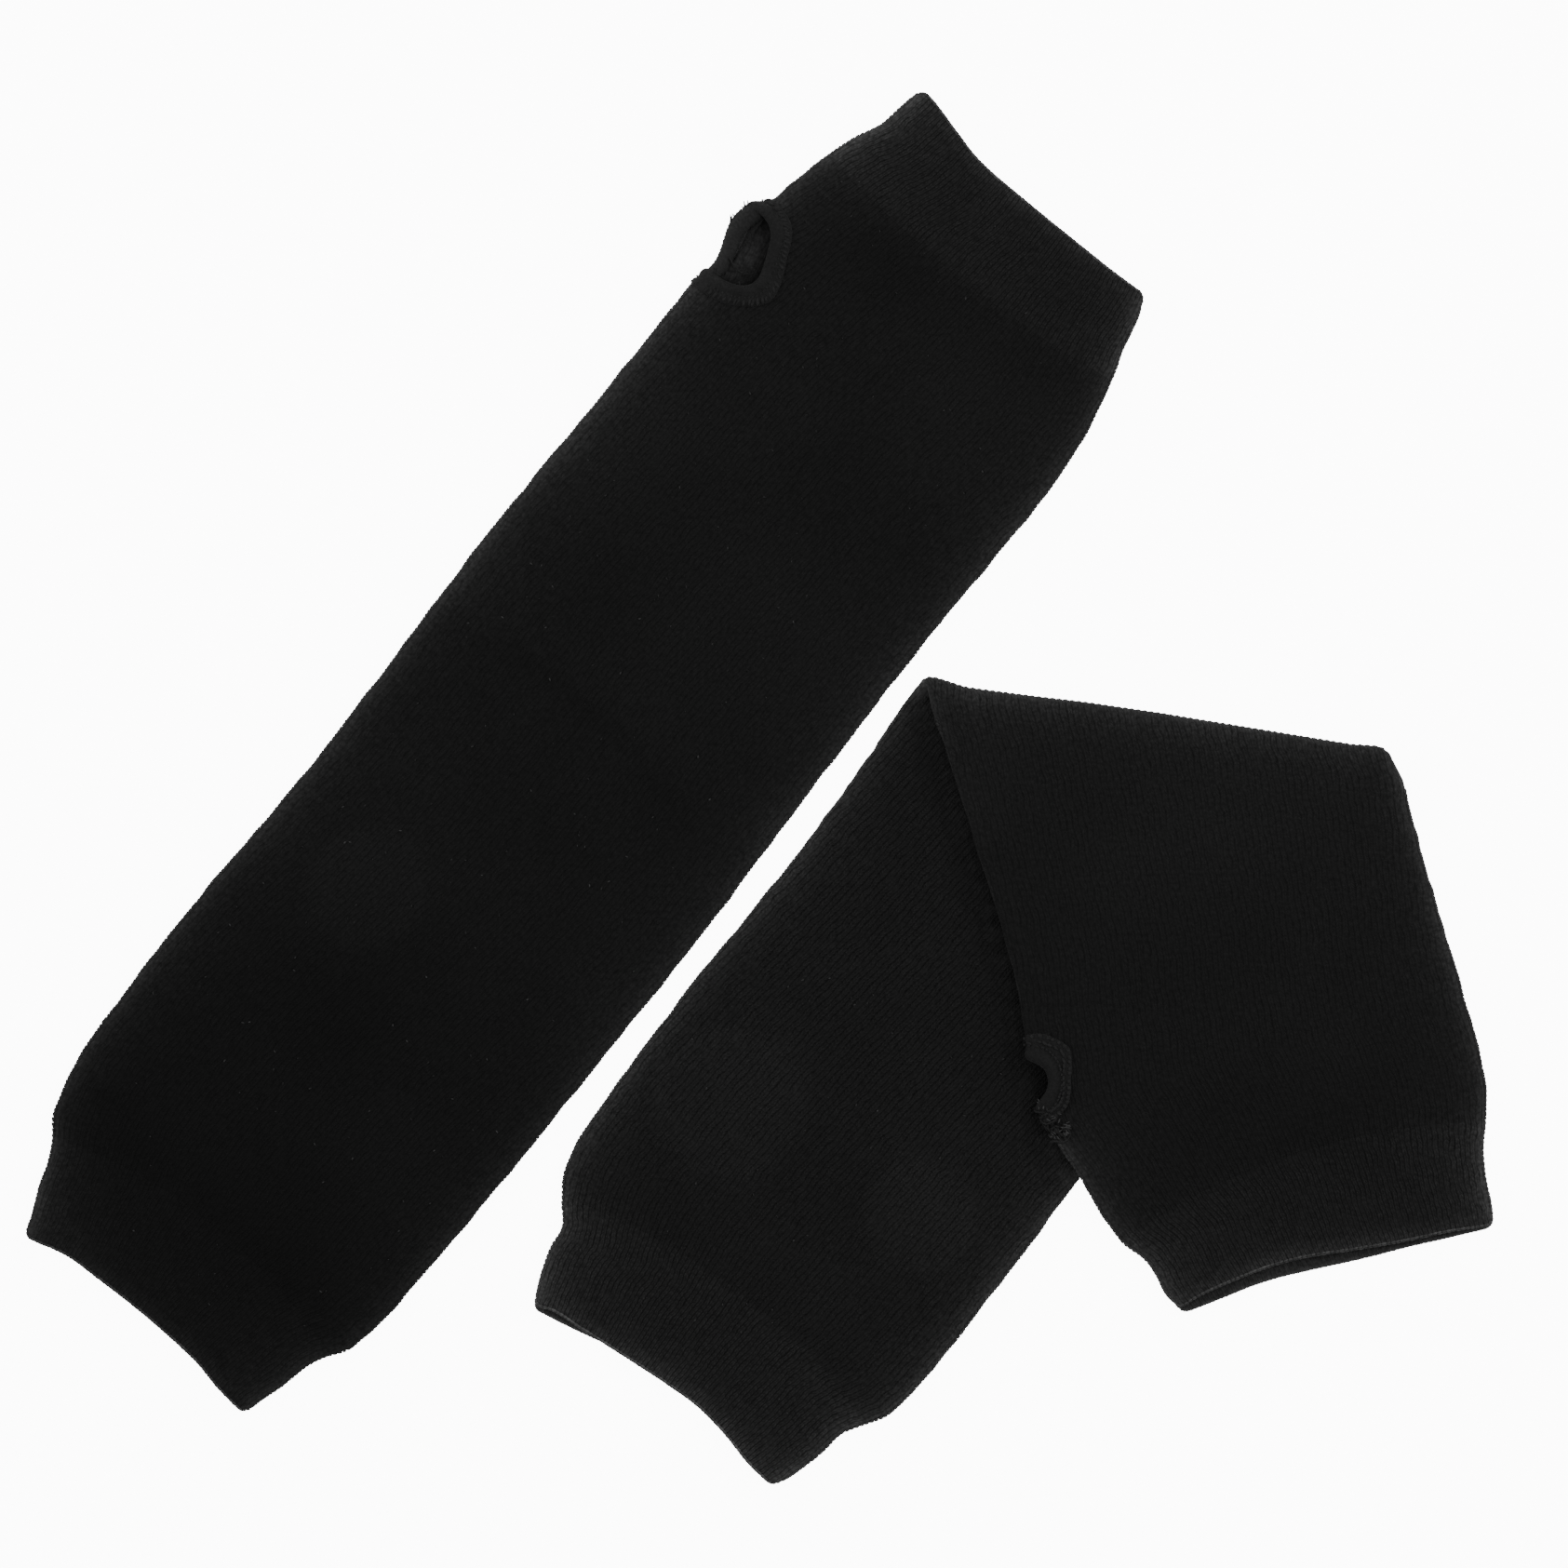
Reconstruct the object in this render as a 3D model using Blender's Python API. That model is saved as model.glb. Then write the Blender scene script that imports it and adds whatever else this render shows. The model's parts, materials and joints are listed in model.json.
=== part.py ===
"""A pair of knitted arm sleeves, laid flat: one lies straight, the other is folded over once.

Each sleeve is one knitted tube. A jersey body ends in two narrower ribbed cuffs, whose cloth is
turned in double, and a thumb hole near the hand end is bound with a sewn band. The tube lies
collapsed, so its upper and lower panels rest on each other and its sides are two soft folds.

A point of a sleeve is first found on the flat, straight tube, in millimetres:
    s  along the tube, from the mouth at the arm end
    t  across it, from the centre line, positive to the right when looking along s
    z  up from the surface that the tube lies on
and is then turned onto the table, and for the folded sleeve over its crest line.
"""
import math
from types import SimpleNamespace

import bmesh
import bpy
from mathutils import Vector

MM = 0.001

# Cloth
JERSEY_WALL = 1.2        # one layer of the body's jersey
CUFF_WALL = 1.8          # the cuff's rib, turned in double
BODY_HEIGHT = 3.4        # both jersey layers and the air between them
EDGE_ROLL = 3.0          # width of the rounded side folds
SEAM_GAP = 0.3           # between pieces that are knitted or sewn together
RIB_HEIGHT = 0.25        # a raised rib on the cuff's seen side

# The fold of the second sleeve
LAYER_GAP = 0.4          # air between the flap and the cloth below it
DRAPE_RUN = 28.0         # over this width the flap sinks from the lower layers to the table

# How finely the rings are divided
SIDE_STEPS = 6
PLAIN_STEPS = 10
INNER_SIDE_STEPS = 4
INNER_STEPS = 6
RIB_STEPS = 48
RING_SPACING = 12.0
HOLE_RING_SPACING = 5.0
LIP_STEPS = 4
WRAP_STEPS = 8
BAND_STEPS = 26

# Columns of a sleeve's rows, in millimetres:
#   station  where the row meets the side folds, from the arm end
#   left     the left fold, from the centre line
#   right    the right fold, from the centre line
#   height   how high the flattened tube stands
#   bow      how far the middle of the row lies beyond its ends, towards the hand end
STATION, LEFT, RIGHT, HEIGHT, BOW = range(5)

STRAIGHT_ROWS = (
    (0.0, -35.8, 34.4, 4.0, 0.0),
    (4.5, -36.9, 35.4, 4.2, 1.5),
    (13.6, -40.5, 37.7, 4.3, 4.2),
    (18.2, -42.0, 38.8, 4.3, 5.6),
    (22.7, -44.2, 41.1, 4.2, 7.0),
    (27.3, -47.7, 44.1, 4.0, 7.2),
    (31.8, -49.5, 45.4, 3.8, 7.0),
    (38.0, -51.0, 46.3, 3.6, 6.0),
    (48.0, -52.4, 47.0, 3.4, 4.0),
    (86.0, -53.2, 48.2, 3.4, 0.0),
    (130.0, -51.8, 48.6, 3.4, 0.0),
    (159.0, -52.1, 48.8, 3.4, 0.0),
    (205.0, -53.2, 47.7, 3.4, 0.0),
    (250.0, -52.4, 47.0, 3.4, 0.0),
    (284.0, -52.1, 47.7, 3.4, 0.0),
    (291.8, -50.9, 47.9, 3.4, 0.0),
    (302.0, -54.0, 47.5, 3.4, -0.8),
    (307.3, -53.1, 47.2, 3.5, -1.4),
    (312.7, -49.3, 46.7, 3.6, -2.0),
    (318.2, -48.4, 45.6, 3.8, -2.8),
    (327.3, -46.1, 43.5, 4.2, -3.5),
    (336.4, -43.1, 40.9, 4.3, -2.4),
    (341.5, -40.1, 39.7, 4.3, -1.4),
    (346.0, -39.3, 38.7, 4.2, -0.8),
    (352.6, -38.2, 37.2, 4.0, 0.0),
)

FOLDED_ROWS = (
    (0.0, -36.8, 37.8, 4.0, 0.0),
    (4.5, -38.3, 39.6, 4.2, 1.5),
    (13.6, -41.3, 42.3, 4.3, 4.2),
    (18.2, -42.1, 43.2, 4.3, 5.4),
    (22.7, -45.7, 46.0, 4.2, 7.0),
    (27.3, -48.7, 48.8, 4.0, 7.2),
    (31.8, -50.4, 50.3, 3.8, 7.0),
    (38.0, -51.4, 51.2, 3.6, 6.0),
    (48.0, -52.0, 51.8, 3.4, 4.0),
    (84.0, -51.9, 52.5, 3.4, 0.0),
    (102.0, -51.0, 52.4, 3.4, 0.0),
    (125.0, -50.1, 52.4, 3.4, 0.0),
    (148.0, -50.1, 52.3, 3.4, 0.0),
    (177.0, -51.3, 52.0, 3.4, 0.0),
    (205.0, -51.9, 51.8, 3.4, 0.0),
    (222.0, -52.0, 51.6, 3.4, 0.0),
    (231.0, -52.1, 50.0, 3.4, 0.0),
    (240.0, -52.3, 51.6, 3.4, 0.0),
    (257.0, -53.1, 51.0, 3.4, 0.0),
    (268.0, -54.7, 50.7, 3.4, 0.0),
    (281.0, -55.9, 50.4, 3.4, -0.4),
    (291.0, -56.9, 50.2, 3.4, -1.0),
    (300.0, -54.7, 49.9, 3.5, -2.0),
    (306.6, -53.1, 49.6, 3.6, -3.4),
    (318.2, -50.4, 47.9, 3.9, -6.2),
    (325.0, -48.1, 45.6, 4.2, -7.0),
    (331.9, -43.9, 42.4, 4.3, -5.2),
    (341.0, -42.0, 40.8, 4.3, -2.4),
    (347.0, -40.3, 40.1, 4.0, 0.0),
)

# Columns of a mouth's rows: side, from -1 at the left fold to 1 at the right one; reach, how far
# the mouth's edge lies towards the hand end there; and back, how far the upper lip lies behind
# the lower one. Millimetres, except side.
STRAIGHT_ARM_MOUTH = (
    (-1.0, 0.2, 0.0),
    (-0.9, 0.8, 0.0),
    (-0.67, 2.9, 0.0),
    (-0.4, 3.3, 0.0),
    (0.0, 3.4, 0.0),
    (0.48, 2.4, 0.0),
    (0.73, 0.6, 0.0),
    (1.0, -0.6, 0.0),
)
STRAIGHT_HAND_MOUTH = (
    (-1.0, 3.4, 0.0),
    (-0.88, 3.0, 0.0),
    (-0.64, 0.6, 0.0),
    (-0.4, -1.5, 0.0),
    (-0.1, -2.1, 0.0),
    (0.68, -2.4, 0.0),
    (1.0, -2.0, 0.0),
)
FOLDED_ARM_MOUTH = (
    (-1.0, -2.4, 0.6),
    (-0.85, -1.6, 1.8),
    (-0.67, -0.4, 1.0),
    (-0.43, 1.3, 0.0),
    (0.05, 2.4, 0.0),
    (0.29, 2.4, 0.0),
    (0.53, 0.9, 0.0),
    (0.77, -1.4, 0.0),
    (1.0, -2.4, 0.0),
)
FOLDED_HAND_MOUTH = (
    (-1.0, -0.7, 1.0),
    (-0.85, -0.9, 2.6),
    (-0.45, -1.8, 3.1),
    (-0.2, -1.2, 3.4),
    (0.15, 0.2, 2.6),
    (0.45, 1.0, 1.6),
    (0.7, 1.9, 1.5),
    (1.0, 2.9, 0.5),
)
SIDE, REACH, BACK = range(3)

# A thumb hole is a rounded outline, and so is the outer edge of the band sewn around it. station
# is where its middle lies, and round_in is how far the middle lies in from the left fold,
# measured over the cloth.
STRAIGHT = SimpleNamespace(
    name="straight",
    start=(-152.5, -131.6),
    heading=51.54,
    rows=STRAIGHT_ROWS,
    arm_mouth=STRAIGHT_ARM_MOUTH,
    hand_mouth=STRAIGHT_HAND_MOUTH,
    arm_join=24.0,
    hand_join=329.0,
    crease=186.0,        # the shallow crosswise crease left by packing
    crest=None,
    hole=SimpleNamespace(station=298.4, half_length=9.8, round_in=2.2, half_depth=10.9),
    band=SimpleNamespace(station=297.6, half_length=15.4, round_in=2.2, half_depth=15.4),
    cut_through=False,
)
FOLDED = SimpleNamespace(
    name="folded",
    start=(-25.45, -146.8),
    heading=53.4,
    rows=FOLDED_ROWS,
    arm_mouth=FOLDED_ARM_MOUTH,
    hand_mouth=FOLDED_HAND_MOUTH,
    arm_join=24.0,
    hand_join=324.5,
    crease=None,
    crest=SimpleNamespace(station=205.8, heading=-9.26),
    hole=SimpleNamespace(station=281.0, half_length=7.2, round_in=-6.7, half_depth=10.9),
    band=SimpleNamespace(station=284.1, half_length=14.7, round_in=-6.7, half_depth=18.4),
    cut_through=True,
)

CREASE_DEPTH = 0.5
CREASE_WIDTH = 9.0
MOUTH_REACH = 22.0       # the mouth's own shape has died away this far into the cuff
FOLD_CENTRE = BODY_HEIGHT + LAYER_GAP / 2
WRAP_LENGTH = math.pi * (FOLD_CENTRE - BODY_HEIGHT / 2)
TURN_RUN = 75.0          # the rows turn to the crest's direction over this length
HOLE_SQUARENESS = 2.4
BAND_END = -0.2          # the band stops this far round the side fold, counted as round_in
UNDER_STRIP_WIDTH = 3.6
UNDER_STRIP_HEIGHT = 0.9

JERSEY_BLACK = (0.012, 0.012, 0.013, 1.0)
RIB_BLACK = (0.015, 0.015, 0.016, 1.0)
BINDING_BLACK = (0.020, 0.020, 0.021, 1.0)


def clear_scene():
    for thing in list(bpy.data.objects):
        bpy.data.objects.remove(thing, do_unlink=True)


def collection(name):
    group = bpy.data.collections.new(name)
    bpy.context.scene.collection.children.link(group)
    return group


def material(name, colour, roughness):
    made = bpy.data.materials.new(name)
    made.use_nodes = True
    shader = made.node_tree.nodes["Principled BSDF"]
    shader.inputs["Base Color"].default_value = colour
    shader.inputs["Roughness"].default_value = roughness
    shader.inputs["Metallic"].default_value = 0.0
    return made


def ease(value):
    """A soft step: 0 up to 0, 1 from 1, and level at both ends."""
    x = min(max(value, 0.0), 1.0)
    return x * x * (3.0 - 2.0 * x)


def read_row(rows, column, place):
    """A smooth curve through one column of a table, whose first column holds the places."""
    if place <= rows[0][0]:
        return rows[0][column]
    if place >= rows[-1][0]:
        return rows[-1][column]
    last = len(rows) - 1
    k = next(i for i in range(last) if place <= rows[i + 1][0])

    def slope(i):
        a, b = max(i - 1, 0), min(i + 1, last)
        return (rows[b][column] - rows[a][column]) / (rows[b][0] - rows[a][0])

    span = rows[k + 1][0] - rows[k][0]
    x = (place - rows[k][0]) / span
    here, there = rows[k][column], rows[k + 1][column]
    return (here * (1 + 2 * x) * (1 - x) ** 2 + there * x * x * (3 - 2 * x)
            + span * (slope(k) * x * (1 - x) ** 2 - slope(k + 1) * x * x * (1 - x)))


def turned(x, y, degrees):
    c, s = math.cos(math.radians(degrees)), math.sin(math.radians(degrees))
    return c * x - s * y, s * x + c * y


def on_table(sleeve, s, t):
    """The place on the table of a point of the tube that isn't folded over."""
    x, y = turned(s, -t, sleeve.heading)
    return sleeve.start[0] + x, sleeve.start[1] + y


def past_crest(sleeve, s, t):
    """How far a point of the flat tube lies past the line where it starts to turn over."""
    x, y = turned(s - sleeve.crest.station, -t, sleeve.heading - sleeve.crest.heading)
    return y + FOLD_CENTRE


def in_flap(sleeve, station):
    """Whether a row lies beyond the crest, where the tube's lower panel is the seen one."""
    return sleeve.crest is not None and past_crest(sleeve, station, 0.0) > WRAP_LENGTH / 2


def placed(sleeve, s, t, z):
    """A point of the flat tube, where it really lies, in metres."""
    x, y = on_table(sleeve, s, t)
    if sleeve.crest is None:
        return Vector((x, y, z)) * MM
    q = past_crest(sleeve, s, t)
    if q <= 0.0:
        return Vector((x, y, z)) * MM
    out_x, out_y = turned(0.0, 1.0, sleeve.crest.heading)
    if q < WRAP_LENGTH:
        angle = math.pi * q / WRAP_LENGTH
        radius = FOLD_CENTRE - z
        shift = radius * math.sin(angle) - q
        return Vector((x + out_x * shift, y + out_y * shift, FOLD_CENTRE - radius * math.cos(angle))) * MM
    shift = WRAP_LENGTH - 2.0 * q
    x, y = x + out_x * shift, y + out_y * shift
    from_axis = -turned(x - sleeve.start[0], y - sleeve.start[1], -sleeve.heading)[1]
    lower_edge = read_row(sleeve.rows, RIGHT, sleeve.crest.station / 2)
    sunk = (BODY_HEIGHT + LAYER_GAP) * ease((from_axis - lower_edge) / DRAPE_RUN)
    return Vector((x, y, 2.0 * FOLD_CENTRE - z - sunk)) * MM


def height_at(sleeve, station, side):
    """How high the flattened tube stands there, with the crosswise crease pressed in."""
    tall = read_row(sleeve.rows, HEIGHT, station)
    if sleeve.crease is None:
        return tall
    near = math.exp(-((station - sleeve.crease) / (CREASE_WIDTH / 2)) ** 2)
    return tall - CREASE_DEPTH * near * (1.0 - side ** 4)


def run_of_row(sleeve, station, side, upper):
    """Where a row lies along the tube, at a side from -1 to 1. upper is 1 on the seen panel."""
    length = sleeve.rows[-1][STATION]
    run = station + read_row(sleeve.rows, BOW, station) * (1.0 - side * side)
    arm = 1.0 - ease(station / MOUTH_REACH)
    hand = 1.0 - ease((length - station) / MOUTH_REACH)
    run += arm * read_row(sleeve.arm_mouth, REACH, side)
    run += hand * read_row(sleeve.hand_mouth, REACH, side)
    run += arm * upper * read_row(sleeve.arm_mouth, BACK, side)
    run -= hand * upper * read_row(sleeve.hand_mouth, BACK, side)
    return run


def skew_of_row(sleeve, station):
    """How much a row leans, so that the rows near the crest run along it."""
    if sleeve.crest is None:
        return 0.0
    full = math.tan(math.radians(90.0 + sleeve.crest.heading - sleeve.heading))
    wrap = WRAP_LENGTH / math.sin(math.radians(sleeve.heading - sleeve.crest.heading))
    away = abs(station - sleeve.crest.station) - wrap
    return full * (1.0 - ease(away / TURN_RUN))


def fold_reached(sleeve, column, station, skew):
    """Where a leaning row meets the left or the right side fold."""
    straight_across = read_row(sleeve.rows, column, station)
    return read_row(sleeve.rows, column, station + skew * straight_across)


def ring_marks(sides, above, below):
    """Marks around the tube: (part, fraction), with a count for the side folds and for each panel."""
    marks = [("left", k / sides) for k in range(sides)]
    marks += [("top", k / above) for k in range(above)]
    marks += [("right", k / sides) for k in range(sides)]
    marks += [("bottom", k / below) for k in range(below)]
    return marks


def ring(sleeve, station, depth, ribs=0, rib_height=0.0):
    """One row of the tube as (turn, point), `depth` inside its outer face.

    The tube is drawn as seen from above, whichever of its panels is up: the seen panel is kept
    level with the row's height, and the hidden one lies flat. turn grows from 0 to 4 around it.
    """
    skew = skew_of_row(sleeve, station)
    left = fold_reached(sleeve, LEFT, station, skew)
    right = fold_reached(sleeve, RIGHT, station, skew)
    middle, half = (left + right) / 2, (right - left) / 2
    flap = in_flap(sleeve, station)
    plain, sides = (PLAIN_STEPS, SIDE_STEPS) if depth < JERSEY_WALL else (INNER_STEPS, INNER_SIDE_STEPS)
    marks = ring_marks(sides, plain if flap else ribs or plain, ribs or plain if flap else plain)
    points = []
    for k, (part, fraction) in enumerate(marks):
        turn = ("left", "top", "right", "bottom").index(part) + fraction
        seen = (turn > 2.5 or turn < 0.5) if flap else (0.5 < turn < 2.5)
        lift = rib_height if (ribs and seen and k % 2) else 0.0
        inset = depth - lift
        if part == "left":
            angle = math.pi * (fraction - 0.5)
            t = left + EDGE_ROLL - (EDGE_ROLL - inset) * math.cos(angle)
        elif part == "right":
            angle = math.pi * (0.5 - fraction)
            t = right - EDGE_ROLL + (EDGE_ROLL - inset) * math.cos(angle)
        else:
            width = right - left - 2 * EDGE_ROLL
            along = fraction if part == "top" else 1.0 - fraction
            angle = math.pi / 2 if part == "top" else -math.pi / 2
            t = left + EDGE_ROLL + along * width
        side = min(max((t - middle) / half, -1.0), 1.0)
        tall = height_at(sleeve, station, side)
        z = tall / 2 + (tall / 2 - inset) * math.sin(angle)
        if flap:
            z += BODY_HEIGHT - tall
        upper = ease(0.5 - math.sin(angle) / 2) if flap else ease(0.5 + math.sin(angle) / 2)
        s = run_of_row(sleeve, station, side, upper) + skew * t
        points.append((turn, placed(sleeve, s, t, z)))
    return points


def closed_mesh(mesh, name):
    """Turns a closed bmesh's faces outwards and makes it a mesh with smooth shading."""
    bmesh.ops.recalc_face_normals(mesh, faces=mesh.faces)
    if mesh.calc_volume(signed=True) < 0.0:
        bmesh.ops.reverse_faces(mesh, faces=mesh.faces)
    data = bpy.data.meshes.new(name)
    mesh.to_mesh(data)
    mesh.free()
    data.shade_smooth()
    return data


def loft(name, rings):
    """A closed skin through rings that may have unlike numbers of points, the last joined to the first."""
    mesh = bmesh.new()
    made = [[(turn, mesh.verts.new(point)) for turn, point in one] for one in rings]
    for here, there in zip(made, made[1:] + made[:1]):
        i = j = 0
        while i < len(here) or j < len(there):
            a, b = here[i % len(here)][1], there[j % len(there)][1]
            next_here = here[i + 1][0] if i + 1 < len(here) else 4.0
            next_there = there[j + 1][0] if j + 1 < len(there) else 4.0
            both = i < len(here) and j < len(there) and abs(next_here - next_there) < 1e-6
            c, d = here[(i + 1) % len(here)][1], there[(j + 1) % len(there)][1]
            if both:
                mesh.faces.new((a, b, d, c))
                i, j = i + 1, j + 1
            elif j >= len(there) or (i < len(here) and next_here < next_there):
                mesh.faces.new((a, b, c))
                i += 1
            else:
                mesh.faces.new((a, b, d))
                j += 1
    return closed_mesh(mesh, name)


def add_piece(group, name, data, finish):
    piece = bpy.data.objects.new(name, data)
    data.materials.append(finish)
    group.objects.link(piece)
    return piece


def body_stations(sleeve):
    """The jersey's rows from cuff to cuff: evenly spaced, and closer where the cloth turns."""
    first, last = sleeve.arm_join + SEAM_GAP / 2, sleeve.hand_join - SEAM_GAP / 2
    stations = {first, last}
    stations |= {row[STATION] for row in sleeve.rows if first + 2.0 < row[STATION] < last - 2.0}
    if sleeve.crease is not None:
        stations |= {sleeve.crease + k * CREASE_WIDTH / 4 for k in range(-3, 4)}
    if sleeve.crest is not None:
        across = math.sin(math.radians(sleeve.heading - sleeve.crest.heading))
        begin = sleeve.crest.station - FOLD_CENTRE / across
        wrap = [begin + WRAP_LENGTH * k / WRAP_STEPS / across for k in range(WRAP_STEPS + 1)]
        clear = [one for one in stations if not wrap[0] - 4.0 < one < wrap[-1] + 4.0]
        stations = set(clear) | set(wrap)
    ordered = sorted(stations)
    filled = []
    for here, there in zip(ordered, ordered[1:]):
        near_hole = abs((here + there) / 2 - sleeve.band.station) < sleeve.band.half_length + 3.0
        parts = max(1, math.ceil((there - here) / (HOLE_RING_SPACING if near_hole else RING_SPACING)))
        filled += [here + (there - here) * k / parts for k in range(parts)]
    return filled + [last]


def jersey_body(sleeve, group, finish):
    """The body: the outer face from cuff to cuff, and back along the inner face."""
    stations = body_stations(sleeve)
    rings = [ring(sleeve, station, 0.0) for station in stations]
    rings += [ring(sleeve, station, JERSEY_WALL) for station in reversed(stations)]
    return add_piece(group, sleeve.name + "_body", loft(sleeve.name + "_body", rings), finish)


def turned_cuff(sleeve, group, finish, at_hand):
    """A ribbed cuff: ribs on its seen outer face, a rounded lip at the mouth, a plain inner face."""
    length = sleeve.rows[-1][STATION]
    join = sleeve.hand_join + SEAM_GAP / 2 if at_hand else sleeve.arm_join - SEAM_GAP / 2
    mouth, inward = (length, -1.0) if at_hand else (0.0, 1.0)
    half_wall = CUFF_WALL / 2
    lip_start = mouth + inward * half_wall
    rings = [ring(sleeve, join + (lip_start - join) * k / 3, 0.0, RIB_STEPS, RIB_HEIGHT) for k in range(4)]
    for k in range(1, LIP_STEPS):
        angle = math.pi * k / LIP_STEPS
        station = mouth + inward * half_wall * (1.0 - math.sin(angle))
        depth = half_wall * (1.0 - math.cos(angle))
        ribs = RIB_STEPS if k == 1 else 0
        rings.append(ring(sleeve, station, depth, ribs, RIB_HEIGHT / 2))
    rings += [ring(sleeve, lip_start, CUFF_WALL), ring(sleeve, join, CUFF_WALL)]
    name = sleeve.name + ("_hand_cuff" if at_hand else "_arm_cuff")
    return add_piece(group, name, loft(name, rings), finish)


def skin_point(sleeve, s, round_in, lift):
    """A point `lift` above the seen panel. round_in is measured over the cloth, in from the left fold."""
    left = read_row(sleeve.rows, LEFT, s)
    tall = read_row(sleeve.rows, HEIGHT, s)
    quarter = math.pi / 4 * (EDGE_ROLL + tall / 2)
    if round_in < quarter:
        angle = math.pi / 2 * round_in / quarter
        t = left + EDGE_ROLL - (EDGE_ROLL + lift) * math.cos(angle)
        z = tall / 2 + (tall / 2 + lift) * math.sin(angle)
    else:
        t = left + EDGE_ROLL + round_in - quarter
        z = tall + lift
    if sleeve.crest is not None:
        z = BODY_HEIGHT - z
    return placed(sleeve, s, t, z)


def around(outline, angle):
    """A point of a rounded outline as (station, round_in)."""
    c, s = math.cos(angle), math.sin(angle)
    power = 2.0 / HOLE_SQUARENESS
    along = math.copysign(abs(c) ** power, c) * outline.half_length
    inward = math.copysign(abs(s) ** power, s) * outline.half_depth
    return outline.station + along, outline.round_in + inward


def end_angle(outline):
    """The angle at which a rounded outline comes to where the band stops on the side fold."""
    share = (BAND_END - outline.round_in) / outline.half_depth
    return math.copysign(math.asin(abs(share) ** (HOLE_SQUARENESS / 2.0)), share)


def thumb_binding(sleeve, group, finish):
    """The sewn band around the thumb hole: a rolled rim, and a flat row that lies on the panel."""
    # (distance out from the hole's edge, height over the panel), and the same from the outer edge
    rim = ((0.0, 0.9), (0.7, 1.5), (1.7, 1.45), (2.5, 1.0))
    hem = ((1.2, 0.95), (0.5, 0.9), (0.0, 0.6))
    inner_first, outer_first = end_angle(sleeve.hole), end_angle(sleeve.band)
    mesh = bmesh.new()
    rows = []
    for k in range(BAND_STEPS + 1):
        # closer together at the ends, where the band wraps the side fold
        fraction = k / BAND_STEPS - 0.1 * math.sin(2 * math.pi * k / BAND_STEPS)
        inner = Vector(around(sleeve.hole, inner_first + (math.pi - 2 * inner_first) * fraction))
        outer = Vector(around(sleeve.band, outer_first + (math.pi - 2 * outer_first) * fraction))
        step = (outer - inner).normalized()
        places = [inner + step * wider for wider, _ in rim] + [outer - step * inside for inside, _ in hem]
        tops = [top for _, top in rim + hem]
        over = [skin_point(sleeve, *place, top) for place, top in zip(places, tops)]
        under = [skin_point(sleeve, *place, SEAM_GAP) for place in places]
        rows.append([mesh.verts.new(point) for point in over + under[::-1]])
    count = len(rows[0])
    for here, there in zip(rows, rows[1:]):
        for k in range(count):
            mesh.faces.new((here[k], here[(k + 1) % count], there[(k + 1) % count], there[k]))
    for end in (rows[0], rows[-1]):
        for k in range(len(rim + hem) - 1):
            mesh.faces.new((end[k], end[k + 1], end[count - 2 - k], end[count - 1 - k]))
    bmesh.ops.triangulate(mesh, faces=mesh.faces)
    name = sleeve.name + "_thumb_binding"
    return add_piece(group, name, closed_mesh(mesh, name), finish)


def under_binding(sleeve, group, finish):
    """The band's far side, which is seen through the hole as it lies on the lower panel."""
    hole = sleeve.hole
    reach = hole.half_length - 1.6
    mesh = bmesh.new()
    bmesh.ops.create_cube(mesh, size=1.0)
    bmesh.ops.subdivide_edges(mesh, edges=mesh.edges, cuts=5, use_grid_fill=True)
    for vertex in mesh.verts:
        along, across, up = vertex.co
        s = hole.station + 2.0 * along * reach
        round_off = 1.0 - 0.5 * abs(2.0 * along) ** 4
        t = read_row(sleeve.rows, LEFT, s) + 0.5 + (across + 0.5) * UNDER_STRIP_WIDTH * round_off
        z = JERSEY_WALL + 0.05 + SEAM_GAP
        z += (up + 0.5) * UNDER_STRIP_HEIGHT * (1.0 - 0.6 * abs(2.0 * across) ** 3)
        vertex.co = placed(sleeve, s, t, z)
    name = sleeve.name + "_thumb_binding_under"
    return add_piece(group, name, closed_mesh(mesh, name), finish)


def cut_thumb_hole(sleeve, body, guides):
    """Cuts the hole out of the side fold, through the seen panel, or through both where it is a notch."""
    count = 28
    floor, ceiling = JERSEY_WALL + 0.05, BODY_HEIGHT + 3.0
    if sleeve.cut_through:
        floor = -LAYER_GAP / 2
    quarter = math.pi / 4 * (EDGE_ROLL + BODY_HEIGHT / 2)
    mesh = bmesh.new()
    bmesh.ops.create_cone(mesh, cap_ends=True, segments=count, radius1=1.0, radius2=1.0, depth=1.0)
    for vertex in mesh.verts:
        angle = math.atan2(vertex.co.y, vertex.co.x)
        s, round_in = around(sleeve.hole, angle)
        t = read_row(sleeve.rows, LEFT, s) + round_in - quarter + EDGE_ROLL
        if round_in < quarter:
            t = read_row(sleeve.rows, LEFT, s) + EDGE_ROLL - (quarter - round_in) * 1.6
        z = floor if vertex.co.z < 0 else ceiling
        if sleeve.crest is not None:
            z = BODY_HEIGHT - z
        vertex.co = placed(sleeve, s, t, z)
    data = closed_mesh(mesh, sleeve.name + "_hole_cutter")
    cutter = bpy.data.objects.new(data.name, data)
    cutter.hide_render = True
    cutter.display_type = "WIRE"
    guides.objects.link(cutter)
    cut = body.modifiers.new("thumb hole", "BOOLEAN")
    cut.operation = "DIFFERENCE"
    cut.solver = "EXACT"
    cut.object = cutter


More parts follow.
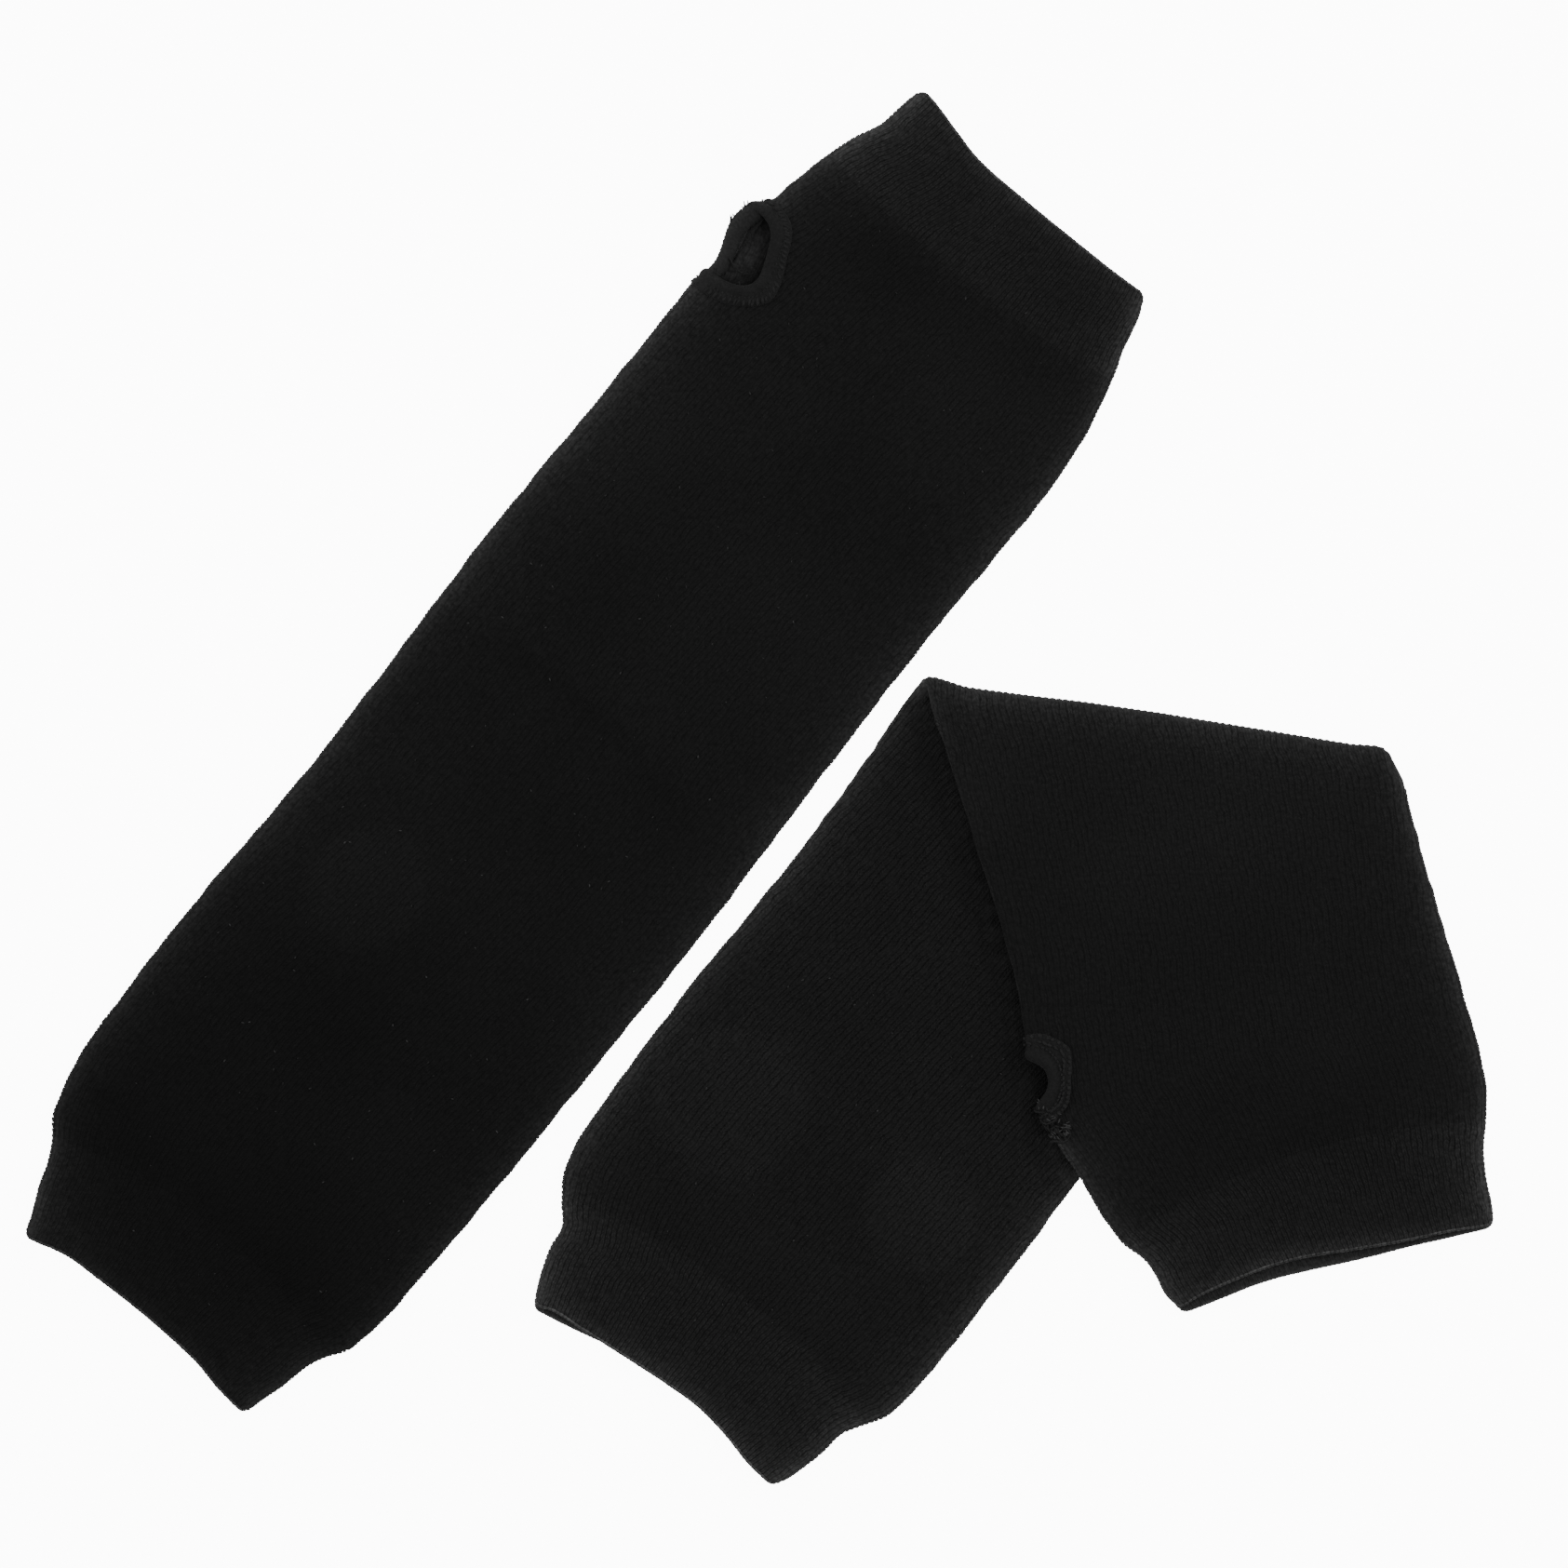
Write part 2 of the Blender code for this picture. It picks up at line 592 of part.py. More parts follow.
def build():
    clear_scene()
    parts = collection("arm_sleeves")
    guides = collection("cutters")
    for sleeve in (STRAIGHT, FOLDED):
        jersey = material(sleeve.name + " jersey", JERSEY_BLACK, 0.9)
        body = jersey_body(sleeve, parts, jersey)
        turned_cuff(sleeve, parts, material(sleeve.name + " arm rib", RIB_BLACK, 0.9), at_hand=False)
        turned_cuff(sleeve, parts, material(sleeve.name + " hand rib", RIB_BLACK, 0.9), at_hand=True)
        thumb_binding(sleeve, parts, material(sleeve.name + " binding", BINDING_BLACK, 0.85))
        if not sleeve.cut_through:
            under_binding(sleeve, parts, material(sleeve.name + " under binding", BINDING_BLACK, 0.85))
        cut_thumb_hole(sleeve, body, guides)


build()
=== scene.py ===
# %% [markdown]
# A pair of black knitted arm sleeves, laid flat on a pale table and looked at from straight above.
# One lies straight, and the other is folded over once. Each is a tube off a small circular
# machine with 144 needles: a plain jersey body between two narrower ribbed cuffs that are turned
# in double, and a thumb hole near the hand end with a band sewn around it. A knitted tube has no
# side seams, so each piece here is one grid of columns and rows, rolled up and pressed flat, and
# its columns are the real wales of the knit.

# %% Load the fixed frame
import json
import math
from functools import partial, reduce
from types import SimpleNamespace

import bmesh
import bpy
import numpy as np
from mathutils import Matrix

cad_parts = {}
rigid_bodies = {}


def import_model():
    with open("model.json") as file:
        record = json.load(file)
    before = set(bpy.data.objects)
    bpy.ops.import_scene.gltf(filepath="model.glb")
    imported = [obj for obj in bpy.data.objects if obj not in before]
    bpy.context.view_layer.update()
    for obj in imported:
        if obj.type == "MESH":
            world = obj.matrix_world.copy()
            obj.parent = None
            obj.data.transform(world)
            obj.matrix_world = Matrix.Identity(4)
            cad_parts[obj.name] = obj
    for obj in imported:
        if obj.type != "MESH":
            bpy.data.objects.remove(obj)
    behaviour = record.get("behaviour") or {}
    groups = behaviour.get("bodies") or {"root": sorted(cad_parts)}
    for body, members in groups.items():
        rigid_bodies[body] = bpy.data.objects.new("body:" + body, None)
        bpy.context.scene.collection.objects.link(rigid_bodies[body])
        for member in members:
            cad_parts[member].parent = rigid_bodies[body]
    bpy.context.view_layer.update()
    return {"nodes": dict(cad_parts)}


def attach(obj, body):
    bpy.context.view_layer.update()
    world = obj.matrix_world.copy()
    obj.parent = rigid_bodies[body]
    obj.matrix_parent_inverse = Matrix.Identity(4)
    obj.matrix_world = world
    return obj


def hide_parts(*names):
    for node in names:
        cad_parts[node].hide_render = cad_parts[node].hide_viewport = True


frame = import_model()
print("CAD nodes:", sorted(frame["nodes"]))

# %% [markdown]
# The camera comes first. The photograph looks straight down, so the camera hangs over the pair
# with no tilt. A long lens from far away keeps the sleeves' edges where a flat picture has them.

# %% Camera
MM = 0.001
FRAME_WIDTH = 383.0            # what the picture shows from side to side
FRAME_CENTRE = (5.8, 0.8)
CAMERA_HEIGHT = 2600.0
CLOTH_LEVEL = 3.0              # the height at which the frame is that wide
SENSOR = 36.0


def add_object(name, data):
    """Puts a mesh, a lamp or a camera into the scene, as an object."""
    added = bpy.data.objects.new(name, data)
    bpy.context.scene.collection.objects.link(added)
    return added


camera_data = bpy.data.cameras.new("camera")
camera_data.sensor_width = SENSOR
camera_data.lens = SENSOR * (CAMERA_HEIGHT - CLOTH_LEVEL) / FRAME_WIDTH
camera = add_object("camera", camera_data)
camera.location = (FRAME_CENTRE[0] * MM, FRAME_CENTRE[1] * MM, CAMERA_HEIGHT * MM)
bpy.context.scene.camera = camera
print("lens, mm:", round(camera_data.lens, 1))

# %% [markdown]
# The sleeves lie on a plain white sweep under soft light from all round, as on a light table:
# there is hardly a shadow, and the fuzz on the folds catches the white around it. What the camera
# sees of the floor and the sky is brighter than the light that they throw, so the white stays
# clean and the black cloth isn't washed out. Two wide soft lamps cross the wales, the stronger
# from the right, so that each wale shows as a fine line.

# %% Floor and light
FLOOR_SIZE = 30.0
FLOOR_WHITE = (0.92, 0.92, 0.92, 1.0)
FLOOR_SURFACE = (0.9, 0.1)     # roughness and specular level
FLOOR_GLOW = 0.35
SKY_STRENGTH = 0.7
SEEN_WHITE = 11.0
WHITE = (1.0, 1.0, 1.0, 1.0)
LAMPS = (                      # name, place and side in metres, watts
    ("key lamp", (1.0, 0.35, 0.85), 1.0, 9.0),
    ("rim lamp", (-1.1, 0.3, 0.45), 0.5, 5.0),
)


def mesh_data(name, mesh):
    """Turns a bmesh into the data of an object."""
    data = bpy.data.meshes.new(name)
    mesh.to_mesh(data)
    mesh.free()
    return data


def new_paint(name, roughness, specular):
    """A new material, with its node tree and the inputs of its shader."""
    paint = bpy.data.materials.new(name)
    paint.use_nodes = True
    given = paint.node_tree.nodes["Principled BSDF"].inputs
    given["Roughness"].default_value = roughness
    given["Specular IOR Level"].default_value = specular
    return paint, paint.node_tree, given


def add_node(tree, kind, inputs, **settings):
    """Adds a shader node, gives its inputs a socket or a plain value each, and gives its outputs."""
    node = tree.nodes.new("ShaderNode" + kind)
    for title, value in settings.items():
        setattr(node, title, value)
    for title, value in inputs.items():
        if isinstance(value, bpy.types.NodeSocket):
            tree.links.new(value, node.inputs[title])
        else:
            node.inputs[title].default_value = value
    return node.outputs


def seen_brighter(tree, strength, target):
    """Sets a strength that is the given one for light, and SEEN_WHITE for what the camera sees."""
    seen = add_node(tree, "LightPath", {})["Is Camera Ray"]
    levels = {"Value": seen, "To Min": strength, "To Max": SEEN_WHITE}
    tree.links.new(add_node(tree, "MapRange", levels)["Result"], target)


floor_mesh = bmesh.new()
bmesh.ops.create_grid(floor_mesh, x_segments=1, y_segments=1, size=FLOOR_SIZE / 2)
floor = add_object("floor", mesh_data("floor", floor_mesh))
floor_paint, floor_tree, floor_given = new_paint("floor white", *FLOOR_SURFACE)
floor_given["Base Color"].default_value = FLOOR_WHITE
floor_given["Emission Color"].default_value = WHITE
seen_brighter(floor_tree, FLOOR_GLOW, floor_given["Emission Strength"])
floor.data.materials.append(floor_paint)

world = bpy.data.worlds.new("white studio")
world.use_nodes = True
sky = world.node_tree.nodes["Background"].inputs
sky["Color"].default_value = WHITE
seen_brighter(world.node_tree, SKY_STRENGTH, sky["Strength"])
bpy.context.scene.world = world

for name, place, size, power in LAMPS:
    lamp_data = bpy.data.lights.new(name, "AREA")
    lamp_data.size, lamp_data.energy = size, power
    lamp = add_object(name, lamp_data)
    lamp.location = place
    away = math.atan2(math.hypot(place[0], place[1]), place[2])
    lamp.rotation_euler = (away, 0.0, math.atan2(place[0], -place[1]))
    print(name, power, "W")

# %% [markdown]
# The sizes of the cloth and the two tables of rows are those of the CAD source, repeated here in
# millimetres. A row says where the tube's side folds are at a station along the sleeve, how
# high the flattened tube stands, and how far the middle of the row bows towards the hand end.

# %% Sizes of the cloth
JERSEY_WALL = 1.2
CUFF_WALL = 1.8
BODY_HEIGHT = 3.4
EDGE_ROLL = 3.0
LAYER_GAP = 0.4
DRAPE_RUN = 28.0               # over which the flap comes down to the table beside the lower part
MOUTH_REACH = 22.0             # how far from a mouth its slanting edge still bends the rows
FOLD_CENTRE = BODY_HEIGHT + LAYER_GAP / 2      # the height of the crest's axis
WRAP_LENGTH = math.pi * (FOLD_CENTRE - BODY_HEIGHT / 2)
TURN_RUN = 75.0                # over which the rows turn to run along the crest
HOLE_SQUARENESS = 2.4
BAND_END = -0.2                # where the bands stop, round in from the side fold

# %% Rows of the two sleeves
STATION, LEFT, RIGHT, HEIGHT, BOW = range(5)

STRAIGHT_ROWS = (
    (0, -35.8, 34.4, 4, 0),
    (4.5, -36.9, 35.4, 4.2, 1.5),
    (13.6, -40.5, 37.7, 4.3, 4.2),
    (18.2, -42, 38.8, 4.3, 5.6),
    (22.7, -44.2, 41.1, 4.2, 7),
    (27.3, -47.7, 44.1, 4, 7.2),
    (31.8, -49.5, 45.4, 3.8, 7),
    (38, -51, 46.3, 3.6, 6),
    (48, -52.4, 47, 3.4, 4),
    (86, -53.2, 48.2, 3.4, 0),
    (130, -51.8, 48.6, 3.4, 0),
    (159, -52.1, 48.8, 3.4, 0),
    (205, -53.2, 47.7, 3.4, 0),
    (250, -52.4, 47, 3.4, 0),
    (284, -52.1, 47.7, 3.4, 0),
    (291.8, -50.9, 47.9, 3.4, 0),
    (302, -54, 47.5, 3.4, -0.8),
    (307.3, -53.1, 47.2, 3.5, -1.4),
    (312.7, -49.3, 46.7, 3.6, -2),
    (318.2, -48.4, 45.6, 3.8, -2.8),
    (327.3, -46.1, 43.5, 4.2, -3.5),
    (336.4, -43.1, 40.9, 4.3, -2.4),
    (341.5, -40.1, 39.7, 4.3, -1.4),
    (346, -39.3, 38.7, 4.2, -0.8),
    (352.6, -38.2, 37.2, 4, 0),
)

FOLDED_ROWS = (
    (0, -36.8, 37.8, 4, 0),
    (4.5, -38.3, 39.6, 4.2, 1.5),
    (13.6, -41.3, 42.3, 4.3, 4.2),
    (18.2, -42.1, 43.2, 4.3, 5.4),
    (22.7, -45.7, 46, 4.2, 7),
    (27.3, -48.7, 48.8, 4, 7.2),
    (31.8, -50.4, 50.3, 3.8, 7),
    (38, -51.4, 51.2, 3.6, 6),
    (48, -52, 51.8, 3.4, 4),
    (84, -51.9, 52.5, 3.4, 0),
    (102, -51, 52.4, 3.4, 0),
    (125, -50.1, 52.4, 3.4, 0),
    (148, -50.1, 52.3, 3.4, 0),
    (177, -51.3, 52, 3.4, 0),
    (205, -51.9, 51.8, 3.4, 0),
    (222, -52, 51.6, 3.4, 0),
    (231, -52.1, 50, 3.4, 0),
    (240, -52.3, 51.6, 3.4, 0),
    (257, -53.1, 51, 3.4, 0),
    (268, -54.7, 50.7, 3.4, 0),
    (281, -55.9, 50.4, 3.4, -0.4),
    (291, -56.9, 50.2, 3.4, -1),
    (300, -54.7, 49.9, 3.5, -2),
    (306.6, -53.1, 49.6, 3.6, -3.4),
    (318.2, -50.4, 47.9, 3.9, -6.2),
    (325, -48.1, 45.6, 4.2, -7),
    (331.9, -43.9, 42.4, 4.3, -5.2),
    (341, -42, 40.8, 4.3, -2.4),
    (347, -40.3, 40.1, 4, 0),
)

# %% Mouths of the four cuffs
# side, from -1 at the left fold to 1 at the right one; reach, how far the mouth's edge lies
# towards the hand end there; and back, how far the upper lip lies behind the lower one
STRAIGHT_ARM_MOUTH = (
    (-1, 0.2, 0),
    (-0.9, 0.8, 0),
    (-0.67, 2.9, 0),
    (-0.4, 3.3, 0),
    (0, 3.4, 0),
    (0.48, 2.4, 0),
    (0.73, 0.6, 0),
    (1, -0.6, 0),
)
STRAIGHT_HAND_MOUTH = (
    (-1, 3.4, 0),
    (-0.88, 3, 0),
    (-0.64, 0.6, 0),
    (-0.4, -1.5, 0),
    (-0.1, -2.1, 0),
    (0.68, -2.4, 0),
    (1, -2, 0),
)
FOLDED_ARM_MOUTH = (
    (-1, -2.4, 0.6),
    (-0.85, -1.6, 1.8),
    (-0.67, -0.4, 1),
    (-0.43, 1.3, 0),
    (0.05, 2.4, 0),
    (0.29, 2.4, 0),
    (0.53, 0.9, 0),
    (0.77, -1.4, 0),
    (1, -2.4, 0),
)
FOLDED_HAND_MOUTH = (
    (-1, -0.7, 1),
    (-0.85, -0.9, 2.6),
    (-0.45, -1.8, 3.1),
    (-0.2, -1.2, 3.4),
    (0.15, 0.2, 2.6),
    (0.45, 1, 1.6),
    (0.7, 1.9, 1.5),
    (1, 2.9, 0.5),
)
REACH, BACK = 1, 2             # their columns

# %% The two sleeves
# start is the middle of the arm mouth on the table, and heading the sleeve's direction.
# lean: (station, degrees) by which the wales lean clockwise, seen from outside, because a tube
# off a circular machine spirals. crest.dip: (place along the crest, how far its edge falls short).
# crease, flap_edge: (across, station) of the crosswise crease, and of the flap's edge over the
# lower part. soft: (station, across, half length, half width, rise) of the puffs and troughs in
# the seen panel. spots: (station, across, radius, how much lighter) of the faint round spots.
# tone, contrast, glow: (station, how light the black is there, how clear the stitches, how strong
# the painted fuzz sheen at a side fold, a painted highlight). hem: (fraction of the way round the
# hole, how far out its band reaches). stitches: the rows sewn on the band, (out from the hole, or
# in from the outer edge, half length, width and height, lift over the cloth, slant, pitch). bulge:
# (station, across) by which the left fold leaves the straight run of the wales beside the hole.
NONE = float("nan")
STRAIGHT = SimpleNamespace(
    name="straight",
    start=(-152.5, -131.6),
    heading=51.54,
    rows=STRAIGHT_ROWS,
    arm_mouth=STRAIGHT_ARM_MOUTH,
    hand_mouth=STRAIGHT_HAND_MOUTH,
    arm_join=24,
    hand_join=329,
    crest=None,
    hole=SimpleNamespace(station=298.4, half_length=9.8, round_in=2.2, half_depth=10.9),
    band=SimpleNamespace(station=297.6, half_length=15.4, round_in=2.2, half_depth=15.4),
    cut_through=False,
    crease=((-52, 183), (-35.5, 184.2), (-27.5, 186.4), (-12, 186.6), (0, 186), (12.5, 184.6),
            (20.7, 182.2), (29.3, 180.6), (48, 179)),
    flap_edge=None,
    lean=((0, 3), (39, 2), (64, 2.3), (89, 5.2), (114, 5.5), (139, 4.6), (164, 1.8), (189, 1.9),
          (239, 2.7), (264, 2.4), (289, 4.7), (314, 7), (352.6, 5)),
    spots=((119, -22.3, 15.2, 0.2),),
    soft=((119.8, -22.3, 17, 17, 0.3), (253.2, -30.5, 18, 16, 0.35), (70, 20, 24, 18, 0.25),
          (150, 26, 20, 15, 0.2), (222, 10, 26, 22, 0.25), (92, -8, 14, 26, -0.25),
          (268, 14, 16, 24, -0.25), (300, 20, 15, 16, 0.2), (318, -18, 7, 16, -0.25),
          (39.3, -41, 1.7, 9, -0.35), (332, -36, 15, 14, 0.35)),
    tone=((0, 0.8), (6, 0.7), (18, 0.58), (23.9, 0.55), (24.1, 0.45), (34, 0.5), (60, 0.58), (90, 0.64),
          (130, 0.8), (170, 0.82), (240, 0.95), (300, 1), (328.9, 0.96), (329.1, 1.32), (340, 1.34),
          (348, 1.55), (352.6, 1.7)),
    hem=((0, 4.4), (0.1, 3.7), (0.2, 3.5), (0.3, 3.9), (0.4, 4.5), (0.5, 5.3), (0.7, 5), (1, 4.8)),
    stitches=((0, 1.05, (0.85, 0.34, 0.24), 0.55, 0.2, 1.25),
              (2.5, NONE, (0.3, 0.28, 0.2), 0.6, 0, 1.25)),
    glow_left=((0, 1.6), (30, 1.5), (120, 1.3), (260, 1.45), (352.6, 1.4)),
    glow_right=((0, 1.2), (120, 1), (352.6, 1)),
    lip_glow=(1, 1.4),
    bulge=((0, 0), (284, 0), (291.8, 0.3), (302, -3.8), (307.3, -3.5), (312.7, -0.3), (318.2, 0),
           (352.6, 0)),
    contrast=((0, 1), (22, 1), (27, 0.85), (90, 0.85), (150, 0.75), (250, 0.8), (326, 0.9), (332, 1.4),
              (352.6, 1.4)),
    relief=0.2,
    bump=0.16,
    seed=11,
)
FOLDED = SimpleNamespace(
    name="folded",
    start=(-25.45, -146.8),
    heading=53.4,
    rows=FOLDED_ROWS,
    arm_mouth=FOLDED_ARM_MOUTH,
    hand_mouth=FOLDED_HAND_MOUTH,
    arm_join=24,
    hand_join=324.5,
    crest=SimpleNamespace(
        station=205.8, heading=-9.26,
        dip=((-57, 0), (-53, 0.5), (-47.5, 1.4), (-40, 1.2), (-31, 0.9), (-18, 0.3), (0, 0), (48, 0),
             (55, -0.7))),
    hole=SimpleNamespace(station=281, half_length=7.2, round_in=-6.7, half_depth=10.9),
    band=SimpleNamespace(station=284.1, half_length=14.7, round_in=-6.7, half_depth=18.4),
    cut_through=True,
    crease=None,
    flap_edge=((-50, 177), (-43.3, 172.3), (-27.5, 160.9), (-8.3, 147.1), (11, 132.4), (27.3, 117.6),
               (41, 107.3), (56, 101.4)),
    lean=((0, 2), (34, 2.1), (55, 2.9), (75, 4.1), (96, 5.4), (116, 5.7), (136, 4.6), (212, 5.2),
          (260, 5), (284, 2.9), (308, -1.5), (347, -0.6)),
    spots=((66.8, -26.7, 19.5, 0.3), (72.2, 26.7, 14.5, 0.32)),
    soft=((69, -26, 16, 15, 0.35), (74.9, 27.6, 16, 15, 0.35), (112, -10, 22, 20, 0.25),
          (140, 8, 12, 26, -0.2), (250, 12, 22, 24, 0.3), (268, -26, 14, 13, -0.2),
          (298, 16, 14, 18, 0.25), (236, -20, 12, 16, 0.2)),
    tone=((0, 2.1), (4, 1.8), (8, 1.5), (20, 1.4), (23.9, 1.36), (24.1, 1.1), (32, 1.14), (44, 1.2),
          (80, 1.2), (150, 1.12), (205, 1.04), (260, 0.98), (300, 0.93), (320, 0.9), (324.4, 0.92),
          (324.6, 1.16), (340, 1.35), (347, 1.6)),
    hem=((0, 4.6), (0.2, 5.6), (0.3, 6), (0.4, 5.8), (0.5, 5.5), (0.6, 6.2), (0.7, 7.2), (0.8, 6.4),
         (0.9, 6), (1, 4.9)),
    stitches=((3.1, NONE, (0.3, 0.42, 0.3), 0.7, 0, 1.25), (0, 2, (0.32, 0.7, 0.26), 0.75, 0, 1.3),
              (0, 0.55, (0.45, 0.5, 0.3), 0.5, 0.15, 1.25)),
    glow_left=((0, 1), (185, 1), (212, 0.7), (225, 0.15), (288, 0.15), (300, 1), (347, 1)),
    glow_right=((0, 1), (112, 1), (128, 0.2), (150, 0.6), (165, 1), (347, 1)),
    lip_glow=(2, 1.4),
    bulge=((0, 0), (347, 0)),
    contrast=((0, 1.5), (22, 1.5), (27, 1.2), (120, 1.45), (200, 1.4), (216, 0.85), (300, 0.75),
              (320, 0.8), (327, 1.35), (347, 1.35)),
    relief=0.2,
    bump=0.2,
    seed=23,
)
SLEEVES = (STRAIGHT, FOLDED)
for one in SLEEVES:
    one.length = one.rows[-1][STATION]
    print(one.name, "sleeve, mm:", one.length, "long before folding")

# %% [markdown]
# A point of a sleeve is found first on the flat, straight tube: s along it, t across it and z up.
# It is then turned onto the table, and on the folded sleeve around the crest line, where the whole
# tube turns over on itself. These are the CAD source's own rules, here for whole arrays of points
# at once, so that the fine knit lies where the solids lie.

# %% From the flat tube to the table
DIP_RUN = 18.0                 # how far from the crest line its unevenness dies away
CORNER_ROUND, CORNER_SHARE, CORNER_RUN = 1.6, 0.07, 8.0


def ease(value):
    """A soft step: 0 up to 0, 1 from 1, and level at both ends."""
    x = np.clip(value, 0.0, 1.0)
    return x * x * (3.0 - 2.0 * x)


def read_row(rows, column, place):
    """A smooth curve through one column of a table, whose first column holds the places."""
    table = np.array(rows, float)
    at, value = table[:, 0], table[:, column]
    last = len(at) - 1
    index = np.arange(last + 1)
    before, after = np.maximum(index - 1, 0), np.minimum(index + 1, last)
    slope = (value[after] - value[before]) / (at[after] - at[before])
    where = np.clip(place, at[0], at[-1])
    k = np.clip(np.searchsorted(at, where) - 1, 0, last - 1)
    span = at[k + 1] - at[k]
    x = (where - at[k]) / span
    return (value[k] * (1 + 2 * x) * (1 - x) ** 2 + value[k + 1] * x * x * (3 - 2 * x)
            + span * (slope[k] * x * (1 - x) ** 2 - slope[k + 1] * x * x * (1 - x)))


def turned(x, y, degrees):
    c, s = math.cos(math.radians(degrees)), math.sin(math.radians(degrees))
    return c * x - s * y, s * x + c * y


def from_crest(sleeve, s, t):
    """Where a point of the flat tube lies, along the crest line and past where it starts to turn."""
    x, y = turned(s - sleeve.crest.station, -t, sleeve.heading - sleeve.crest.heading)
    return x, y + FOLD_CENTRE


def in_flap(sleeve, station):
    """Whether a row lies beyond the crest, where the tube's lower panel is the seen one."""
    if sleeve.crest is None:
        return np.zeros(np.shape(station), bool)
    return from_crest(sleeve, station, 0.0)[1] > WRAP_LENGTH / 2


def placed(sleeve, s, t, z):
    """Points of the flat tube, where they really lie, in metres."""
    s, t, z = np.broadcast_arrays(np.asarray(s, float), t, z)
    x, y = turned(s, -t, sleeve.heading)
    x, y = x + sleeve.start[0], y + sleeve.start[1]
    if sleeve.crest is None:
        return np.stack((x, y, z), axis=-1) * MM
    along, q = from_crest(sleeve, s, t)
    near = 1.0 - ease(np.abs(q - WRAP_LENGTH / 2) / DIP_RUN)
    q = q + np.interp(along, *zip(*sleeve.crest.dip)) * near
    turning = (q > 0.0) & (q < WRAP_LENGTH)
    over = q >= WRAP_LENGTH
    angle = math.pi * np.clip(q, 0.0, WRAP_LENGTH) / WRAP_LENGTH
    radius = FOLD_CENTRE - z
    shift = np.where(turning, radius * np.sin(angle) - q, 0.0)
    shift = np.where(over, WRAP_LENGTH - 2.0 * q, shift)
    out_x, out_y = turned(0.0, 1.0, sleeve.crest.heading)
    x, y = x + out_x * shift, y + out_y * shift
    from_axis = -turned(x - sleeve.start[0], y - sleeve.start[1], -sleeve.heading)[1]
    lower_edge = read_row(sleeve.rows, RIGHT, sleeve.crest.station / 2)
    sunk = (BODY_HEIGHT + LAYER_GAP) * ease((from_axis - lower_edge) / DRAPE_RUN)
    z = np.where(turning, FOLD_CENTRE - radius * np.cos(angle), z)
    z = np.where(over, 2.0 * FOLD_CENTRE - z - sunk, z)
    return np.stack((x, y, z), axis=-1) * MM


def skew_of_row(sleeve, station):
    """How much a row leans, so that the rows near the crest run along it."""
    if sleeve.crest is None:
        return np.zeros(np.shape(station))
    across = sleeve.heading - sleeve.crest.heading
    away = np.abs(station - sleeve.crest.station) - WRAP_LENGTH / math.sin(math.radians(across))
    return math.tan(math.radians(90.0 - across)) * (1.0 - ease(away / TURN_RUN))


def fold_reached(sleeve, column, station, skew):
    """Where a leaning row meets the left or the right side fold."""
    straight_across = read_row(sleeve.rows, column, station)
    return read_row(sleeve.rows, column, station + skew * straight_across)


def run_of_row(sleeve, station, side, upper):
    """Where a row lies along the tube, at a side from -1 to 1. upper is 1 on the seen panel."""
    run = station + read_row(sleeve.rows, BOW, station) * (1.0 - side * side)
    corner = CORNER_ROUND * np.maximum(1.0 - (1.0 - np.abs(side)) / CORNER_SHARE, 0.0) ** 2
    for mouth, from_mouth, inward in ((sleeve.arm_mouth, station, 1.0),
                                      (sleeve.hand_mouth, sleeve.length - station, -1.0)):
        near = 1.0 - ease(from_mouth / MOUTH_REACH)
        run = run + near * (read_row(mouth, REACH, side) + inward * upper * read_row(mouth, BACK, side))
        run = run + inward * corner * (1.0 - ease(from_mouth / CORNER_RUN))
    return run


for one in SLEEVES:
    mouth = placed(one, one.length, 0.0, 0.0) / MM
    print(one.name, "hand mouth lies at", mouth.round(1).tolist())

# %% [markdown]
# The columns of the grid are half wales: one stands on a wale's crest and the next in the groove
# beside it, so 288 of them go round a tube of 144 wales. They are spread evenly round the tube,
# side folds too, and turn a little as they go along it, because the knit spirals. The groove
# columns lie a fifth of a millimetre deeper, which makes the wales real relief and not only a
# pattern. On top of that come the soft forms: shoulders before the side folds, the crosswise
# crease from the packing, puffs, troughs, and the small wobble of a knitted edge.

# %% The shape of a knitted tube
WALES = 144
COLUMNS = 2 * WALES
BODY_ROUND = 201.4             # around the body, which is the width of its flat cut
SHOULDER_WIDTH = 9.0
SHOULDER_DROP = 0.55
SOFT_MARGIN = 14.0             # the soft forms come in over this width beside the side folds
CREASE_WIDTH, CREASE_DEPTH = 3.0, 0.25
BULGE_REACH = 16.0             # how far in from the fold its bulge moves the wales
CREST_EASE = 10.0              # the soft forms come in over this length on both sides of the crest
WAVES = ((1.35, 1.0, 0.05), (2.3, 2.1, 0.07), (4.1, 1.3, 0.08))   # of an edge: length, phase, height
FUZZ_SHEEN_REACHES = ((0.75, 1.6), (0.25, 7.0))   # (share, reach) of the near and the far painted fuzz sheen
CREST_FUZZ_SHEEN, CREST_COUNTS = 0.7, 0.6         # how strong the painted fuzz sheen is on the crest; how much distances count


def twist_at(sleeve, station):
    """The part of a turn by which the spiralling wales have moved round at a station."""
    fine = np.linspace(0.0, sleeve.length, 400)
    step = np.tan(np.radians(read_row(sleeve.lean, 1, fine))) / BODY_ROUND
    moved = np.concatenate(([0.0], np.cumsum((step[1:] + step[:-1]) / 2 * np.diff(fine))))
    return np.interp(station, fine, moved)


def wobble(sleeve, station, sign):
    """The small unevenness of a knitted edge, in millimetres."""
    phase = sleeve.seed + 2.0 * sign
    return sum(height * np.sin(station / length + turn * phase) for length, turn, height in WAVES)


